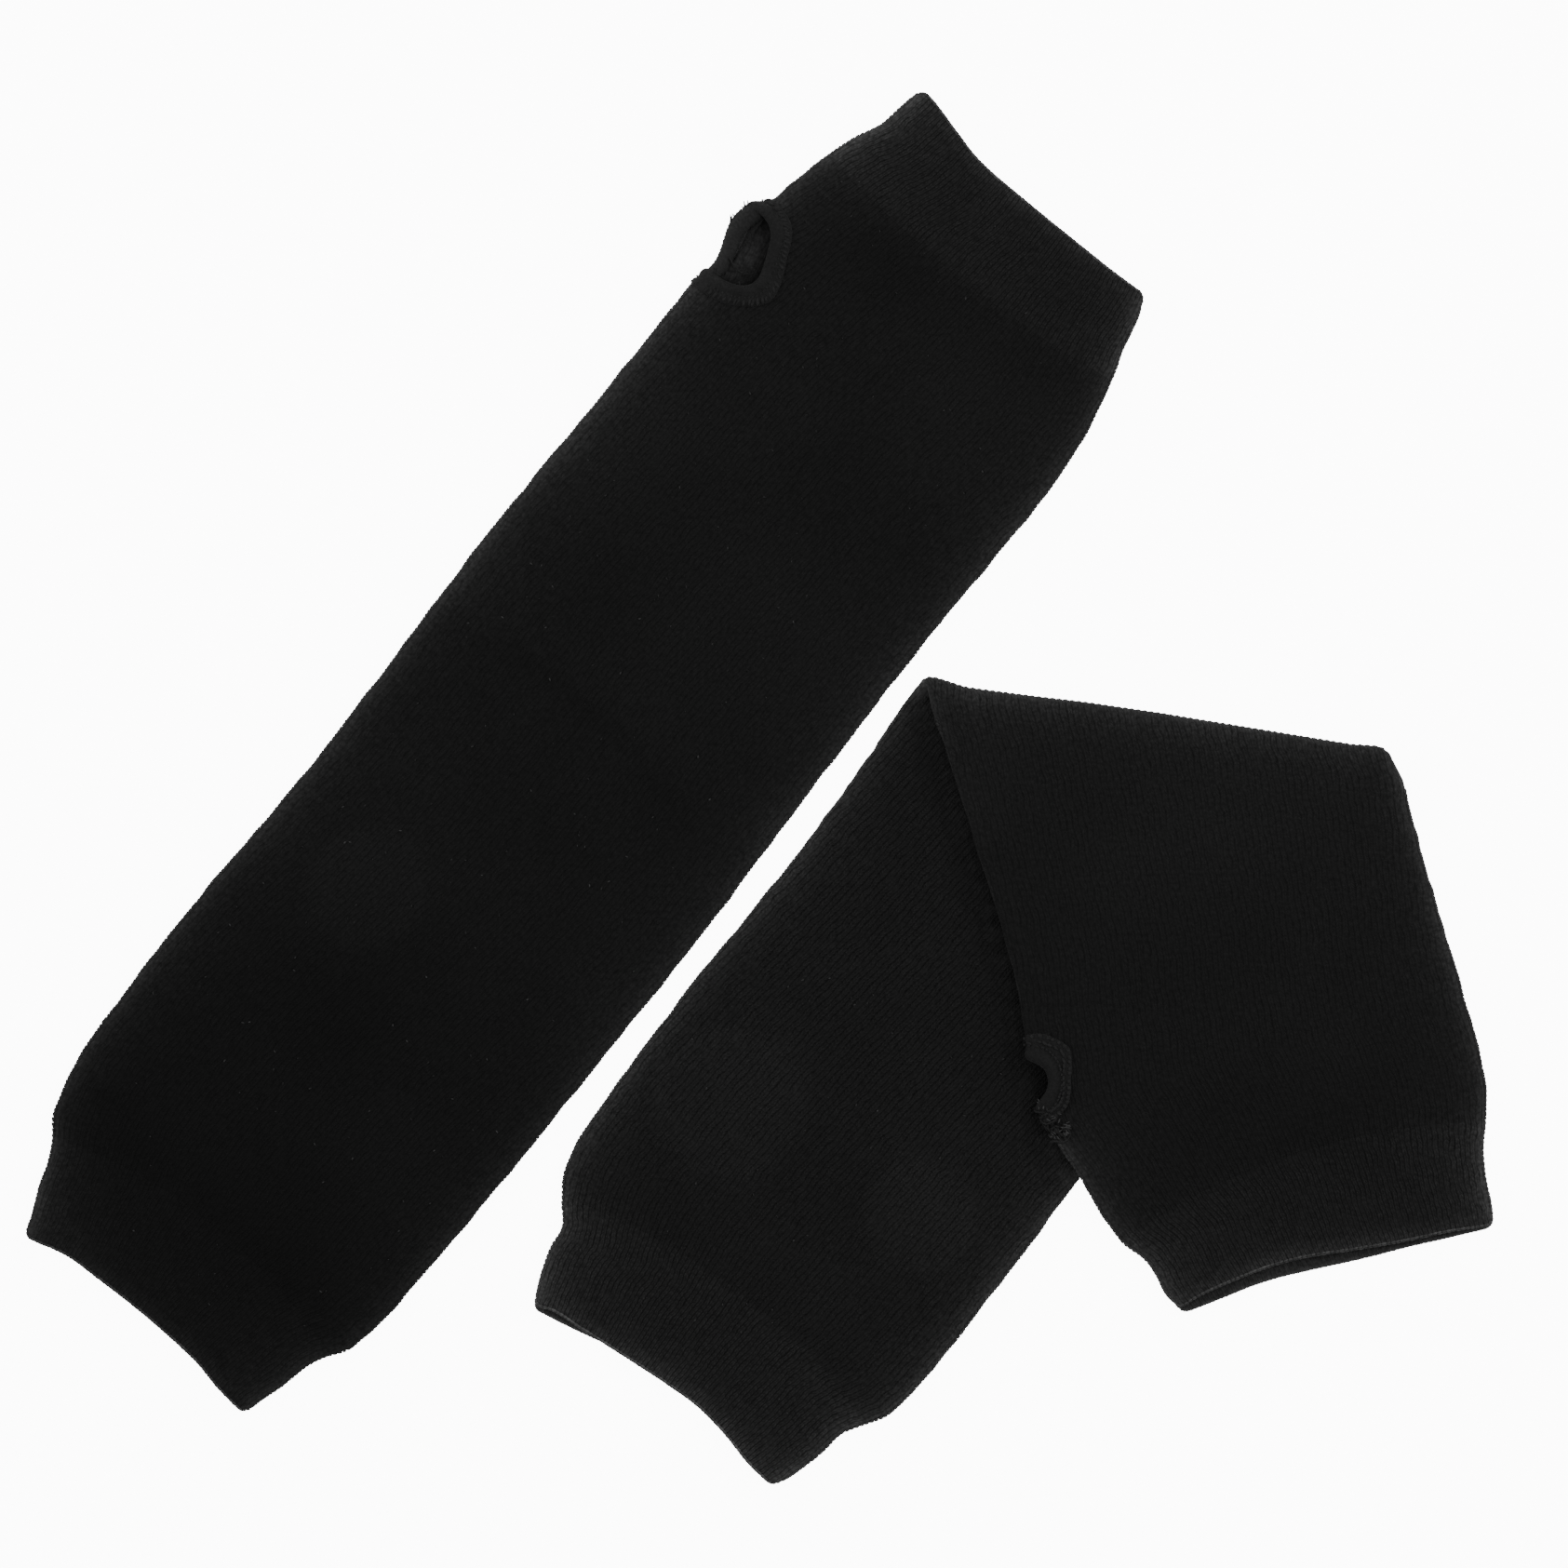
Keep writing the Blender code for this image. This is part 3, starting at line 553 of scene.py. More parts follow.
def seen_share(sleeve, s, t):
    """How much the tube's upper and its lower panel are the seen one there. Neither is, in the crest."""
    if sleeve.crest is None:
        return 1.0, 0.0
    past = from_crest(sleeve, s, t)[1]
    return ease(-past / CREST_EASE), ease((past - WRAP_LENGTH) / CREST_EASE)


def fuzz_sheen_at(distance):
    """The painted sheen of loose fibres at a distance from a line where the cloth turns over."""
    return sum(share * np.exp(-np.maximum(distance, 0.0) / reach) for share, reach in FUZZ_SHEEN_REACHES)


def soft_rise(sleeve, s, t):
    """How far the seen panel's puffs, troughs and crease lift it, in millimetres."""
    rise = np.zeros(np.shape(s))
    for station, across, half_length, half_width, height in sleeve.soft:
        rise += height * np.exp(-((s - station) / half_length) ** 2 - ((t - across) / half_width) ** 2)
    if sleeve.crease is not None:
        past = (s - np.interp(t, *zip(*sleeve.crease))) / CREASE_WIDTH
        rise -= CREASE_DEPTH * np.exp(-past ** 2)
    return rise


def tube_points(sleeve, column, station, depth, relief, fold_arc=None):
    """Points of the tube from their grid column, as (s, t, z) and how near a side fold they are.

    depth is how far inside the outer face they lie, and relief how deep the grooves are. With a
    fold_arc the column is instead -1 for the left fold or 1 for the right one, and the points lie
    that far round from the fold's outermost line, towards the seen panel.
    """
    skew = skew_of_row(sleeve, station)
    edge = fold_reached(sleeve, LEFT, station, skew) + wobble(sleeve, station, -1.0)
    right = fold_reached(sleeve, RIGHT, station, skew) + wobble(sleeve, station, 1.0)
    middle, half = (edge + right) / 2, (right - edge) / 2
    bulge = read_row(sleeve.bulge, 1, station)
    left = edge - bulge
    stands = read_row(sleeve.rows, HEIGHT, station)
    fold = math.pi * np.sqrt((EDGE_ROLL ** 2 + (stands / 2) ** 2) / 2)
    panel = right - left - 2 * EDGE_ROLL
    way_round = 2 * (fold + panel)
    flap = in_flap(sleeve, station)
    if fold_arc is None:
        place = ((column / COLUMNS + twist_at(sleeve, station)) % 1.0 * way_round + fold / 2) % way_round
    else:
        up = np.where(flap, -fold_arc, fold_arc)
        place = np.where(column < 0, fold / 2 + up, 1.5 * fold + panel - up)
    on_left = place < fold
    on_top = ~on_left & (place < fold + panel)
    on_right = ~on_left & ~on_top & (place < 2 * fold + panel)
    inset = depth + relief * read_row(sleeve.contrast, 1, station) * np.abs(column % 2)
    quarters = (place / fold - 0.5, 0.5, 0.5 - (place - fold - panel) / fold)
    angle = math.pi * np.select((on_left, on_top, on_right), quarters, -0.5)
    reach = (EDGE_ROLL - inset) * np.cos(angle)
    t = np.select((on_left, on_top, on_right),
                  (left + EDGE_ROLL - reach, left + EDGE_ROLL + place - fold,
                   right - EDGE_ROLL + reach), right - EDGE_ROLL - (place - 2 * fold - panel))
    t = t + bulge * (1.0 - ease((t - left) / BULGE_REACH))
    side = np.clip((t - middle) / half, -1.0, 1.0)
    upper = ease(0.5 + np.where(flap, -0.5, 0.5) * np.sin(angle))
    s = run_of_row(sleeve, station, side, upper) + skew * t
    z = stands / 2 + (stands / 2 - inset) * np.sin(angle) + np.where(flap, BODY_HEIGHT - stands, 0.0)
    from_fold = np.minimum(t - edge, right - t)
    lift = soft_rise(sleeve, s, t) * ease(from_fold / SOFT_MARGIN)
    lift = lift - SHOULDER_DROP * (1.0 - ease(from_fold / SHOULDER_WIDTH))
    above, below = seen_share(sleeve, s, t)
    z = z + lift * (above * ease(0.5 + np.sin(angle) / 2) - below * ease(0.5 - np.sin(angle) / 2))
    # painted highlight: the fuzz sheen lightens the black near the side folds and along the crest
    fuzz = np.maximum(read_row(sleeve.glow_left, 1, station) * fuzz_sheen_at(t - edge),
                      read_row(sleeve.glow_right, 1, station) * fuzz_sheen_at(right - t))
    if sleeve.crest is not None:
        from_line = np.abs(from_crest(sleeve, s, t)[1] - WRAP_LENGTH / 2)
        fuzz = np.maximum(fuzz, CREST_FUZZ_SHEEN * fuzz_sheen_at(CREST_COUNTS * from_line))
    return s, t, z, fuzz


for one in SLEEVES:
    print(one.name, "spirals by", round(WALES * float(twist_at(one, one.length)), 1), "wales")

# %% [markdown]
# How light the black is goes with the mesh, as numbers on its points, and so do the painted fuzz
# sheen and how clearly the stitches stand out. The tone changes from station to station and is
# lighter in faint round spots. As painted light and shade it is lighter on the puffs, darker in
# the troughs and darker by the crease. Beside the flap's edge the layer below is painted lighter,
# which softens the flap's shadow, and a little further out painted darker, as painted shadow.

# %% Tones of the cloth, and the knitted tube itself
PUFF_LIGHT, PUFF_RANGE = 0.4, (-0.4, 0.35)  # painted light and shade: how much lighter a rise is, and the rises that count
SPOT_EDGE = (0.88, 0.16)       # where a spot starts to fade out, and over how much of its radius
CREASE_SHADE = 0.08
CREASE_SPREAD = (4.5, 0.9)     # how far the crease's shade reaches, before and past its line
CREASE_ENDS = ((-50.0, 10.0), (38.0, 14.0))     # where it begins and ends across, and how softly
# painted light on the layer below beside the flap's edge, which softens the flap's shadow, and painted
# shadow a little further out
FLAP_EDGE_LIGHT_AND_SHADE = ((-3, 0), (-1, 1), (0.7, 1), (1.4, 0.6), (2.2, 0), (3.2, -0.35), (5, -0.35), (9, 0))
EDGE_SLOPE = 0.81              # the flap's edge runs slantwise over the lower part's stations
BESIDE_LIGHT = 0.75
BY_HOLE, BY_HOLE_DARK = (31.0, 6.0), 1.3    # the place across by the flap's hole where the layer below is painted darker instead, as painted shade
IN_HOLE_PAINTED_LIGHT = 1.2            # the lower panel is painted lighter where it shows through the hole, as painted light in there
IN_HOLE = (9.0, 7.0, 6.0)      # half its length, its middle in from the fold, half its width
LIP_FUZZ_SHEEN, LIP_FUZZ_SHEEN_REACH = 0.55, 0.9
INNER_CONTRAST = 0.55          # the stitches are fainter inside, under the painted light beside the flap's edge and in the painted fuzz sheen
BESIDE_FLAP_FAINTER, FUZZ_SHEEN_FAINTER = 0.8, 0.6


def beside_flap(sleeve, s, t, station):
    """How much painted light lies on the layer below beside the flap's edge, up to 1; below 0 it is
    painted shadow.
    """
    if sleeve.flap_edge is None:
        return np.zeros(np.shape(s))
    away = EDGE_SLOPE * (np.interp(t, *zip(*sleeve.flap_edge)) - s)
    return np.where(in_flap(sleeve, station), 0.0, np.interp(away, *zip(*FLAP_EDGE_LIGHT_AND_SHADE)))


def shade(sleeve, s, t, station):
    """How light the black is, with painted light and shade on puffs, troughs, crease and flap edge."""
    # painted light and shade: lighter on the puffs and darker in the troughs
    tone = read_row(sleeve.tone, 1, station) + PUFF_LIGHT * np.clip(soft_rise(sleeve, s, t), *PUFF_RANGE)
    for middle, across, radius, lighter in sleeve.spots:
        away = np.hypot(s - middle, t - across) / radius
        tone += lighter * (1.0 - ease((away - SPOT_EDGE[0]) / SPOT_EDGE[1]))
    # painted shade along the crease
    if sleeve.crease is not None:
        past = s - np.interp(t, *zip(*sleeve.crease))
        (first, soft_first), (last, soft_last) = CREASE_ENDS
        ends = ease((t - first) / soft_first) * ease((last - t) / soft_last)
        before, after = np.exp(past / CREASE_SPREAD[0]), np.exp(-(past / CREASE_SPREAD[1]) ** 2)
        tone -= CREASE_SHADE * ends * np.where(past < 0, before, after)
    # painted light beside the flap's edge, and painted shade instead by the flap's hole
    by_hole = BY_HOLE_DARK * np.exp(-((t - BY_HOLE[0]) / BY_HOLE[1]) ** 2)
    return tone + BESIDE_LIGHT * (1.0 - by_hole) * beside_flap(sleeve, s, t, station)


def weld_closed(mesh):
    """Merges a bmesh's doubles and turns its faces outwards."""
    bmesh.ops.remove_doubles(mesh, verts=mesh.verts, dist=1e-6)
    bmesh.ops.recalc_face_normals(mesh, faces=mesh.faces)
    if mesh.calc_volume(signed=True) < 0.0:
        bmesh.ops.reverse_faces(mesh, faces=mesh.faces)


def on_points(data, title, values):
    """Keeps a number for each point of a mesh, for its material to read."""
    attribute = data.attributes.new(title, "FLOAT", "POINT")
    attribute.data.foreach_set("value", values.astype(np.float32))


def dressed(piece, slot, *nodes):
    """Lets a piece ride on the sleeves' body, in place of the CAD nodes that it shows."""
    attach(piece, "root")
    if nodes:
        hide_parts(*nodes)
    return piece


def knitted_tube(name, sleeve, rows, relief, slot, node):
    """A closed wall of knit: its rows, (station, depth), run along the outer face and back inside."""
    stations, depths = (np.array(values) for values in zip(*rows))
    count = len(rows)
    sheet = bmesh.new()
    bmesh.ops.create_grid(sheet, x_segments=COLUMNS, y_segments=count, size=1.0)
    data = mesh_data(name, sheet)
    flat = np.empty(3 * len(data.vertices), np.float32)
    data.vertices.foreach_get("co", flat)
    flat = flat.reshape(-1, 3)
    column = np.rint((flat[:, 0] + 1.0) / 2 * COLUMNS).astype(int)
    row = np.rint((flat[:, 1] + 1.0) / 2 * count).astype(int)
    station, depth = stations[row % count], depths[row % count]
    inside = depth > 0.5
    s, t, z, fuzz = tube_points(sleeve, column, station, depth, np.where(inside, 0.0, relief))
    data.vertices.foreach_set("co", placed(sleeve, s, t, z).astype(np.float32).ravel())

    run = np.concatenate(([0.0], np.cumsum(np.abs(np.diff(stations)) + np.abs(np.diff(depths)))))
    along = np.append(run, run[-1] + depths[-1]) + stations[0]
    corner = np.empty(len(data.loops), np.int32)
    data.loops.foreach_get("vertex_index", corner)
    knit = np.stack((column / 2.0, along[row]), axis=-1)
    layer = data.uv_layers.new(name="knit")
    layer.uv.foreach_set("vector", knit[corner].astype(np.float32).ravel())

    tone = shade(sleeve, s, t, station)
    # painted light on the inner face where it shows through the hole
    if not sleeve.cut_through:
        half_length, inward, half_width = IN_HOLE
        spread = (((s - sleeve.hole.station) / half_length) ** 2
                  + ((t - t.min() - inward) / half_width) ** 2)
        tone += np.where(inside, IN_HOLE_PAINTED_LIGHT * np.exp(-spread), 0.0)
    # painted highlight of the fuzz sheen on the rolled lips
    from_mouth = np.minimum(station, sleeve.length - station)
    fuzz = np.maximum(fuzz, LIP_FUZZ_SHEEN * np.exp(-from_mouth / LIP_FUZZ_SHEEN_REACH))
    contrast = read_row(sleeve.contrast, 1, station) * np.where(inside, INNER_CONTRAST, 1.0)
    # the stitches are fainter under the painted light beside the flap's edge
    contrast *= 1.0 - BESIDE_FLAP_FAINTER * np.maximum(beside_flap(sleeve, s, t, station), 0.0)
    contrast *= 1.0 - FUZZ_SHEEN_FAINTER * np.clip(fuzz, 0.0, 1.0)
    for title, values in (("tone", tone), ("fuzz", fuzz), ("contrast", contrast)):
        on_points(data, title, values)

    welded = bmesh.new()
    welded.from_mesh(data)
    weld_closed(welded)
    welded.to_mesh(data)
    welded.free()
    data.shade_smooth()
    data.set_sharp_from_angle(angle=math.radians(60))
    return dressed(add_object(name, data), slot, node)

# %% [markdown]
# The jersey body runs from cuff to cuff as one seamless tube. Its rows lie four millimetres apart,
# closer where the tube turns over at the crest and where the thumb hole is cut, and the inner face
# needs fewer of them. The hole is cut afterwards with a Boolean, as it is cut into the real knit.

# %% Jersey bodies
ROW_SPACING = 4.2
INNER_ROW_SPACING = 9.0
WRAP_ROWS = 12
JOIN_GAP = 0.02
AROUND_HOLE = 3.0              # the rows stay close until this far past the band


def even_rows(marks, spacing, hole=None):
    """Stations between marks, no further apart than the spacing, and closer around a hole."""
    filled = []
    for here, there in zip(marks, marks[1:]):
        middle = (here + there) / 2
        near = hole is not None and abs(middle - hole.station) < hole.half_length + AROUND_HOLE
        parts = max(1, math.ceil((there - here) / (spacing / 3 if near else spacing)))
        filled += [here + (there - here) * k / parts for k in range(parts)]
    return filled + [marks[-1]]


def body_rows(sleeve):
    """The body's rows as (station, depth): out along the outer face and back along the inner one."""
    band = sleeve.band
    marks = {sleeve.arm_join + JOIN_GAP / 2, sleeve.hand_join - JOIN_GAP / 2,
             band.station - band.half_length, band.station + band.half_length}
    if sleeve.crest is not None:
        across = math.sin(math.radians(sleeve.heading - sleeve.crest.heading))
        begin = sleeve.crest.station - FOLD_CENTRE / across
        marks |= {begin + WRAP_LENGTH * k / WRAP_ROWS / across for k in range(-1, WRAP_ROWS + 2)}
    marks = sorted(marks)
    outer, inner = even_rows(marks, ROW_SPACING, band), even_rows(marks, INNER_ROW_SPACING)
    return [(at, 0.0) for at in outer] + [(at, JERSEY_WALL) for at in reversed(inner)]


bodies = {one.name: knitted_tube(one.name + "_jersey_tube", one, body_rows(one), one.relief,
                                 "jersey", one.name + "_body") for one in SLEEVES}
for name, body in bodies.items():
    print(name, "body:", len(body.data.polygons), "faces")

# %% [markdown]
# A cuff is a narrower rib, turned in double, so its wall is thicker and its mouth is a soft
# rolled lip. The same columns run on from the body, so the wales pass through the join.

# %% Turned cuffs
CUFF_RELIEF = 0.16
CUFF_ROW_SPACING = 2.6
LIP_ROWS = 7
INNER_PARTS = 3
ENDS = ("_arm_cuff", "_hand_cuff")


def lip_place(sleeve, at_hand, angle):
    """The (station, depth) at an angle from 0 to a half turn round the rolled lip of a mouth."""
    mouth, inward = (sleeve.length, -1.0) if at_hand else (0.0, 1.0)
    half_wall = CUFF_WALL / 2
    return mouth + inward * half_wall * (1.0 - math.sin(angle)), half_wall * (1.0 - math.cos(angle))


def cuff_rows(sleeve, at_hand):
    """A cuff's rows as (station, depth): to the mouth outside, round the lip, and back inside."""
    join = sleeve.hand_join + JOIN_GAP / 2 if at_hand else sleeve.arm_join - JOIN_GAP / 2
    lip_start = lip_place(sleeve, at_hand, 0.0)[0]
    run = lip_start - join
    parts = math.ceil(abs(run) / CUFF_ROW_SPACING)
    return ([(join + run * k / parts, 0.0) for k in range(parts + 1)]
            + [lip_place(sleeve, at_hand, math.pi * k / LIP_ROWS) for k in range(1, LIP_ROWS)]
            + [(lip_start - run * k / INNER_PARTS, CUFF_WALL) for k in range(INNER_PARTS + 1)])


cuffs = {(one.name, at_hand): knitted_tube(one.name + ENDS[at_hand] + "_rib", one,
                                           cuff_rows(one, at_hand), CUFF_RELIEF, "rib",
                                           one.name + ENDS[at_hand])
         for one in SLEEVES for at_hand in (False, True)}
for cuff in cuffs.values():
    print(cuff.name, len(cuff.data.polygons), "faces")

# %% [markdown]
# The thumb holes are cut with a prism whose outline is the rounded hole, bent with the cloth in
# the same way as the CAD source's cutter. On the straight sleeve it stops above the lower panel.

# %% Thumb holes
CUTTER_SIDES = 56
CUTTER_LEVELS = {False: JERSEY_WALL + 0.05, True: -LAYER_GAP / 2}   # its underside, by cut_through
CUTTER_TOP = BODY_HEIGHT + 3.0
PAST_FOLD = 1.6                # beyond the fold the cutter spreads, to clear the roll


def around(outline, angle):
    """A point of a rounded outline as (station, how far in from the left fold over the cloth)."""
    c, s = np.cos(angle), np.sin(angle)
    power = 2.0 / HOLE_SQUARENESS
    along = np.copysign(np.abs(c) ** power, c) * outline.half_length
    inward = np.copysign(np.abs(s) ** power, s) * outline.half_depth
    return outline.station + along, outline.round_in + inward


def cut_thumb_hole(sleeve, body):
    quarter = math.pi / 4 * (EDGE_ROLL + BODY_HEIGHT / 2)
    prism = bmesh.new()
    bmesh.ops.create_cone(prism, cap_ends=True, segments=CUTTER_SIDES,
                          radius1=1.0, radius2=1.0, depth=1.0)
    for corner in prism.verts:
        s, round_in = around(sleeve.hole, math.atan2(corner.co.y, corner.co.x))
        t = round_in - quarter
        t = read_row(sleeve.rows, LEFT, s) + EDGE_ROLL + (t if t >= 0.0 else t * PAST_FOLD)
        z = CUTTER_LEVELS[sleeve.cut_through] if corner.co.z < 0 else CUTTER_TOP
        corner.co = placed(sleeve, s, t, BODY_HEIGHT - z if sleeve.crest is not None else z)
    weld_closed(prism)
    cutter = add_object("hole cutter", mesh_data("hole cutter", prism))
    cut = body.modifiers.new("thumb hole", "BOOLEAN")
    cut.operation, cut.solver, cut.object = "DIFFERENCE", "EXACT", cutter
    done = bpy.data.meshes.new_from_object(body.evaluated_get(bpy.context.evaluated_depsgraph_get()))
    body.modifiers.clear()
    whole, body.data = body.data, done
    done.name = body.name
    bpy.data.meshes.remove(whole)
    bpy.data.objects.remove(cutter)
    print(body.name, "with its hole:", len(done.polygons), "faces")


for one in SLEEVES:
    cut_thumb_hole(one, bodies[one.name])

# %% [markdown]
# Against the white the eye sees single stitches only where the cloth turns over: along the side
# folds and on the rolled lips. There the knit is modelled stitch by stitch, two slanted legs for
# each V, as small grains half sunk into the folds of the grid. Everywhere else the V is finer than
# a picture shows, so it stays in the material.

# %% Grains laid on the cloth


def on_tube(sleeve, column, station, depth, fold_arc=None):
    """Points of the tube where they really lie, without the grooves' relief."""
    column, station, depth = np.broadcast_arrays(column, station, depth)
    return placed(sleeve, *tube_points(sleeve, column, station, depth, 0.0, fold_arc)[:3])


def lying(points_at, ahead, beside, angle, size, scale, tip=None):
    """The middles and three half axes of grains that lie on the cloth, at an angle.

    points_at gives their places after a step in a first and a second direction, and ahead and
    beside are two small steps. The angle runs from the first direction to the second, and a tip
    lifts the grain's end off the cloth.
    """
    here, first, second = points_at(0.0, 0.0), points_at(ahead, 0.0), points_at(0.0, beside)
    first, second = first - here, second - here
    first /= np.linalg.norm(first, axis=1, keepdims=True)
    up = np.cross(first, second)
    up /= np.linalg.norm(up, axis=1, keepdims=True)
    lean = first * np.cos(angle) + np.cross(up, first) * np.sin(angle)
    if tip is not None:
        lean = lean * np.cos(tip) + up * np.sin(tip)
    over = np.cross(up, lean)
    if tip is not None:
        up = np.cross(lean, over)
    scale = scale * MM
    return here, lean * size[0] * scale, over * size[1] * scale, up * size[2] * scale


def grains(name, slot, parts, subdivisions=1):
    """One piece of many small grains: each part gives their middles, half axes and lightness."""
    middles, longs, wides, highs, *tone = (np.concatenate(one) for one in zip(*parts))
    ball = bmesh.new()
    bmesh.ops.create_icosphere(ball, subdivisions=subdivisions, radius=1.0)
    shape = np.array([vertex.co[:] for vertex in ball.verts])
    mesh = mesh_data("grain", ball)
    many = bmesh.new()
    for _ in middles:
        many.from_mesh(mesh)
    bpy.data.meshes.remove(mesh)
    data = mesh_data(name, many)
    points = (middles[:, None, :] + shape[None, :, 0:1] * longs[:, None, :]
              + shape[None, :, 1:2] * wides[:, None, :] + shape[None, :, 2:3] * highs[:, None, :])
    points[..., 2] = np.maximum(points[..., 2], 0.0)
    data.vertices.foreach_set("co", points.astype(np.float32).ravel())
    if tone:
        on_points(data, "tone", np.repeat(tone[0], len(shape)))
    data.update()
    data.shade_smooth()
    return dressed(add_object(name, data), slot)


# %% Stitches on the side folds and the lips
COURSE = 1.05
FOLD_WALES = (-0.55, 0.85)     # how far round the fold from its outermost line, in millimetres
LEG_OFF = 0.33                 # the two legs of a V lie this far to the sides of it
LEG_SLANT = 0.42
LEG_SIZE = (0.62, 0.3, 0.22)   # half the length, width and thickness of a leg
LEG_SUNK = 0.03
MOUTH_CLEAR, CREST_CLEAR, HOLE_CLEAR = 1.6, 9.0, 4.5    # no stitches this near to them
HIDDEN_GLOW = 0.35             # where a fold lies on the other layer, its stitches don't stand out
UNLIT = 0.25                   # how light a stitch is where there is no glow
LIP_HEAD = (0.3, 0.72, 0.18)   # half the width, length and thickness of a stitch head on a lip
LIP_TURNS = (math.radians(38), math.radians(80))


def fold_stitches(sleeve):
    rng = np.random.default_rng(sleeve.seed)
    parts = []
    for side, glow_rows in ((-1.0, sleeve.glow_left), (1.0, sleeve.glow_right)):
        stations = np.arange(MOUTH_CLEAR, sleeve.length - MOUTH_CLEAR, COURSE)
        if sleeve.crest is not None:
            stations = stations[np.abs(stations - sleeve.crest.station) > CREST_CLEAR]
        from_hole = np.abs(stations - sleeve.hole.station) - sleeve.hole.half_length
        bare = (side < 0) & (from_hole < HOLE_CLEAR)
        stations = stations[~bare & (read_row(glow_rows, 1, stations) > HIDDEN_GLOW)]
        count = len(stations)
        for arc in FOLD_WALES:
            for leg in (-1.0, 1.0):
                at = stations + rng.uniform(-0.08, 0.08, count)
                off = arc + leg * LEG_OFF + rng.uniform(-0.05, 0.05, count)
                legs = lying(lambda step, turn: on_tube(sleeve, side, at + step, LEG_SUNK, off + turn),
                             0.4, 0.3, leg * LEG_SLANT, LEG_SIZE, rng.uniform(0.85, 1.15, (count, 1)))
                # painted highlight: a stitch is lighter as far as the fold's painted sheen reaches
                tone = read_row(sleeve.tone, 1, at) * (UNLIT + (1.0 - UNLIT) * read_row(glow_rows, 1, at))
                parts.append((*legs, tone * rng.uniform(0.7, 1.3, count)))
    return grains(sleeve.name + "_fold_stitches", "jersey", parts)


def lip_stitches(sleeve):
    """One head of a stitch for each wale, around the rolled lips of both mouths."""
    rng = np.random.default_rng(sleeve.seed + 1)
    parts = []
    column = np.arange(0, COLUMNS, 2)
    for at_hand in (False, True):
        for angle in LIP_TURNS:
            heads = lying(lambda turn, sideways: on_tube(
                sleeve, column + sideways, *lip_place(sleeve, at_hand, angle + turn)),
                0.3, 0.4, 0.0, LIP_HEAD, rng.uniform(0.85, 1.2, (WALES, 1)))
            # painted highlight on the heads of the lip stitches
            parts.append((*heads, sleeve.lip_glow[at_hand] * rng.uniform(0.7, 1.3, WALES)))
    return grains(sleeve.name + "_lip_stitches", "rib", parts)


edge_stitches = {one.name: [fold_stitches(one), lip_stitches(one)] for one in SLEEVES}
for pieces in edge_stitches.values():
    print([(piece.name, len(piece.data.polygons)) for piece in pieces])

# %% Lint on the seen side
LINT = {"straight": 330, "folded": 150}
LINT_SIZE = (0.32, 0.15, 0.08)
LINT_OUT = 0.02
LINT_CLEAR = 8.0               # from the mouths
LINT_ACROSS = (0.06, 0.94)
FLAP_CLEAR, LOWER_PART = 75.0, (10.0, 110.0)    # lint this near the crest goes on the lower part


def lint_on(sleeve):
    """Loose bits of fibre, lying any way round on the panel that is seen."""
    rng = np.random.default_rng(sleeve.seed + 4)
    count = LINT[sleeve.name]
    station = rng.uniform(LINT_CLEAR, sleeve.length - LINT_CLEAR, count)
    if sleeve.crest is not None:
        at_crest = np.abs(station - sleeve.crest.station) < FLAP_CLEAR
        station = np.where(at_crest, rng.uniform(*LOWER_PART, count), station)
    width = read_row(sleeve.rows, RIGHT, station) - read_row(sleeve.rows, LEFT, station)
    across = rng.uniform(*LINT_ACROSS, count) * width
    angle = rng.uniform(0.0, math.pi, count)[:, None]
    bits = lying(lambda step, turn: on_tube(sleeve, -1.0, station + step, -LINT_OUT, across + turn),
                 0.4, 0.4, angle, LINT_SIZE, rng.uniform(0.6, 1.4, (count, 1)))
    return grains(sleeve.name + "_lint", "jersey", [(*bits, rng.uniform(0.3, 1.0, count) ** 2)])


lint = {one.name: lint_on(one) for one in SLEEVES}
print("bits of lint:", LINT)

# %% [markdown]
# The hole's raw edge is bound by an overlock band, sewn on through the seen panel. Seen close it
# has a smooth rolled rim along the hole, a valley where the needle goes in, and outside that a row
# of thread loops over a flat hem. The base is one long grid with a closed profile, laid on the
# skin of the sleeve from one side of the fold round to the other.

# %% Skin of the seen panel


def skin_points(sleeve, s, round_in, lift):
    """Points above the seen panel. round_in is measured over the cloth, in from the left fold."""
    s, round_in, lift = np.broadcast_arrays(np.asarray(s, float), round_in, lift)
    left = read_row(sleeve.rows, LEFT, s)
    tall = read_row(sleeve.rows, HEIGHT, s)
    quarter = math.pi / 4 * (EDGE_ROLL + tall / 2)
    angle = math.pi / 2 * np.clip(round_in / quarter, -1.0, 1.0)
    flat_run = np.maximum(round_in - quarter, 0.0)
    t = left + EDGE_ROLL - (EDGE_ROLL + lift) * np.cos(angle) + flat_run
    drop = SHOULDER_DROP * (1.0 - ease((t - left) / SHOULDER_WIDTH))
    z = tall / 2 + (tall / 2 + lift) * np.sin(angle) - drop * ease(0.5 + np.sin(angle) / 2)
    return placed(sleeve, s, t, BODY_HEIGHT - z if sleeve.crest is not None else z)


def round_band(outline, fraction):
    """Points of an outline, a fraction of the way from the side fold round to the fold again."""
    share = (BAND_END - outline.round_in) / outline.half_depth
    first = np.copysign(np.arcsin(np.abs(share) ** (HOLE_SQUARENESS / 2.0)), share)
    return np.stack(around(outline, first + (math.pi - 2 * first) * fraction), axis=-1)


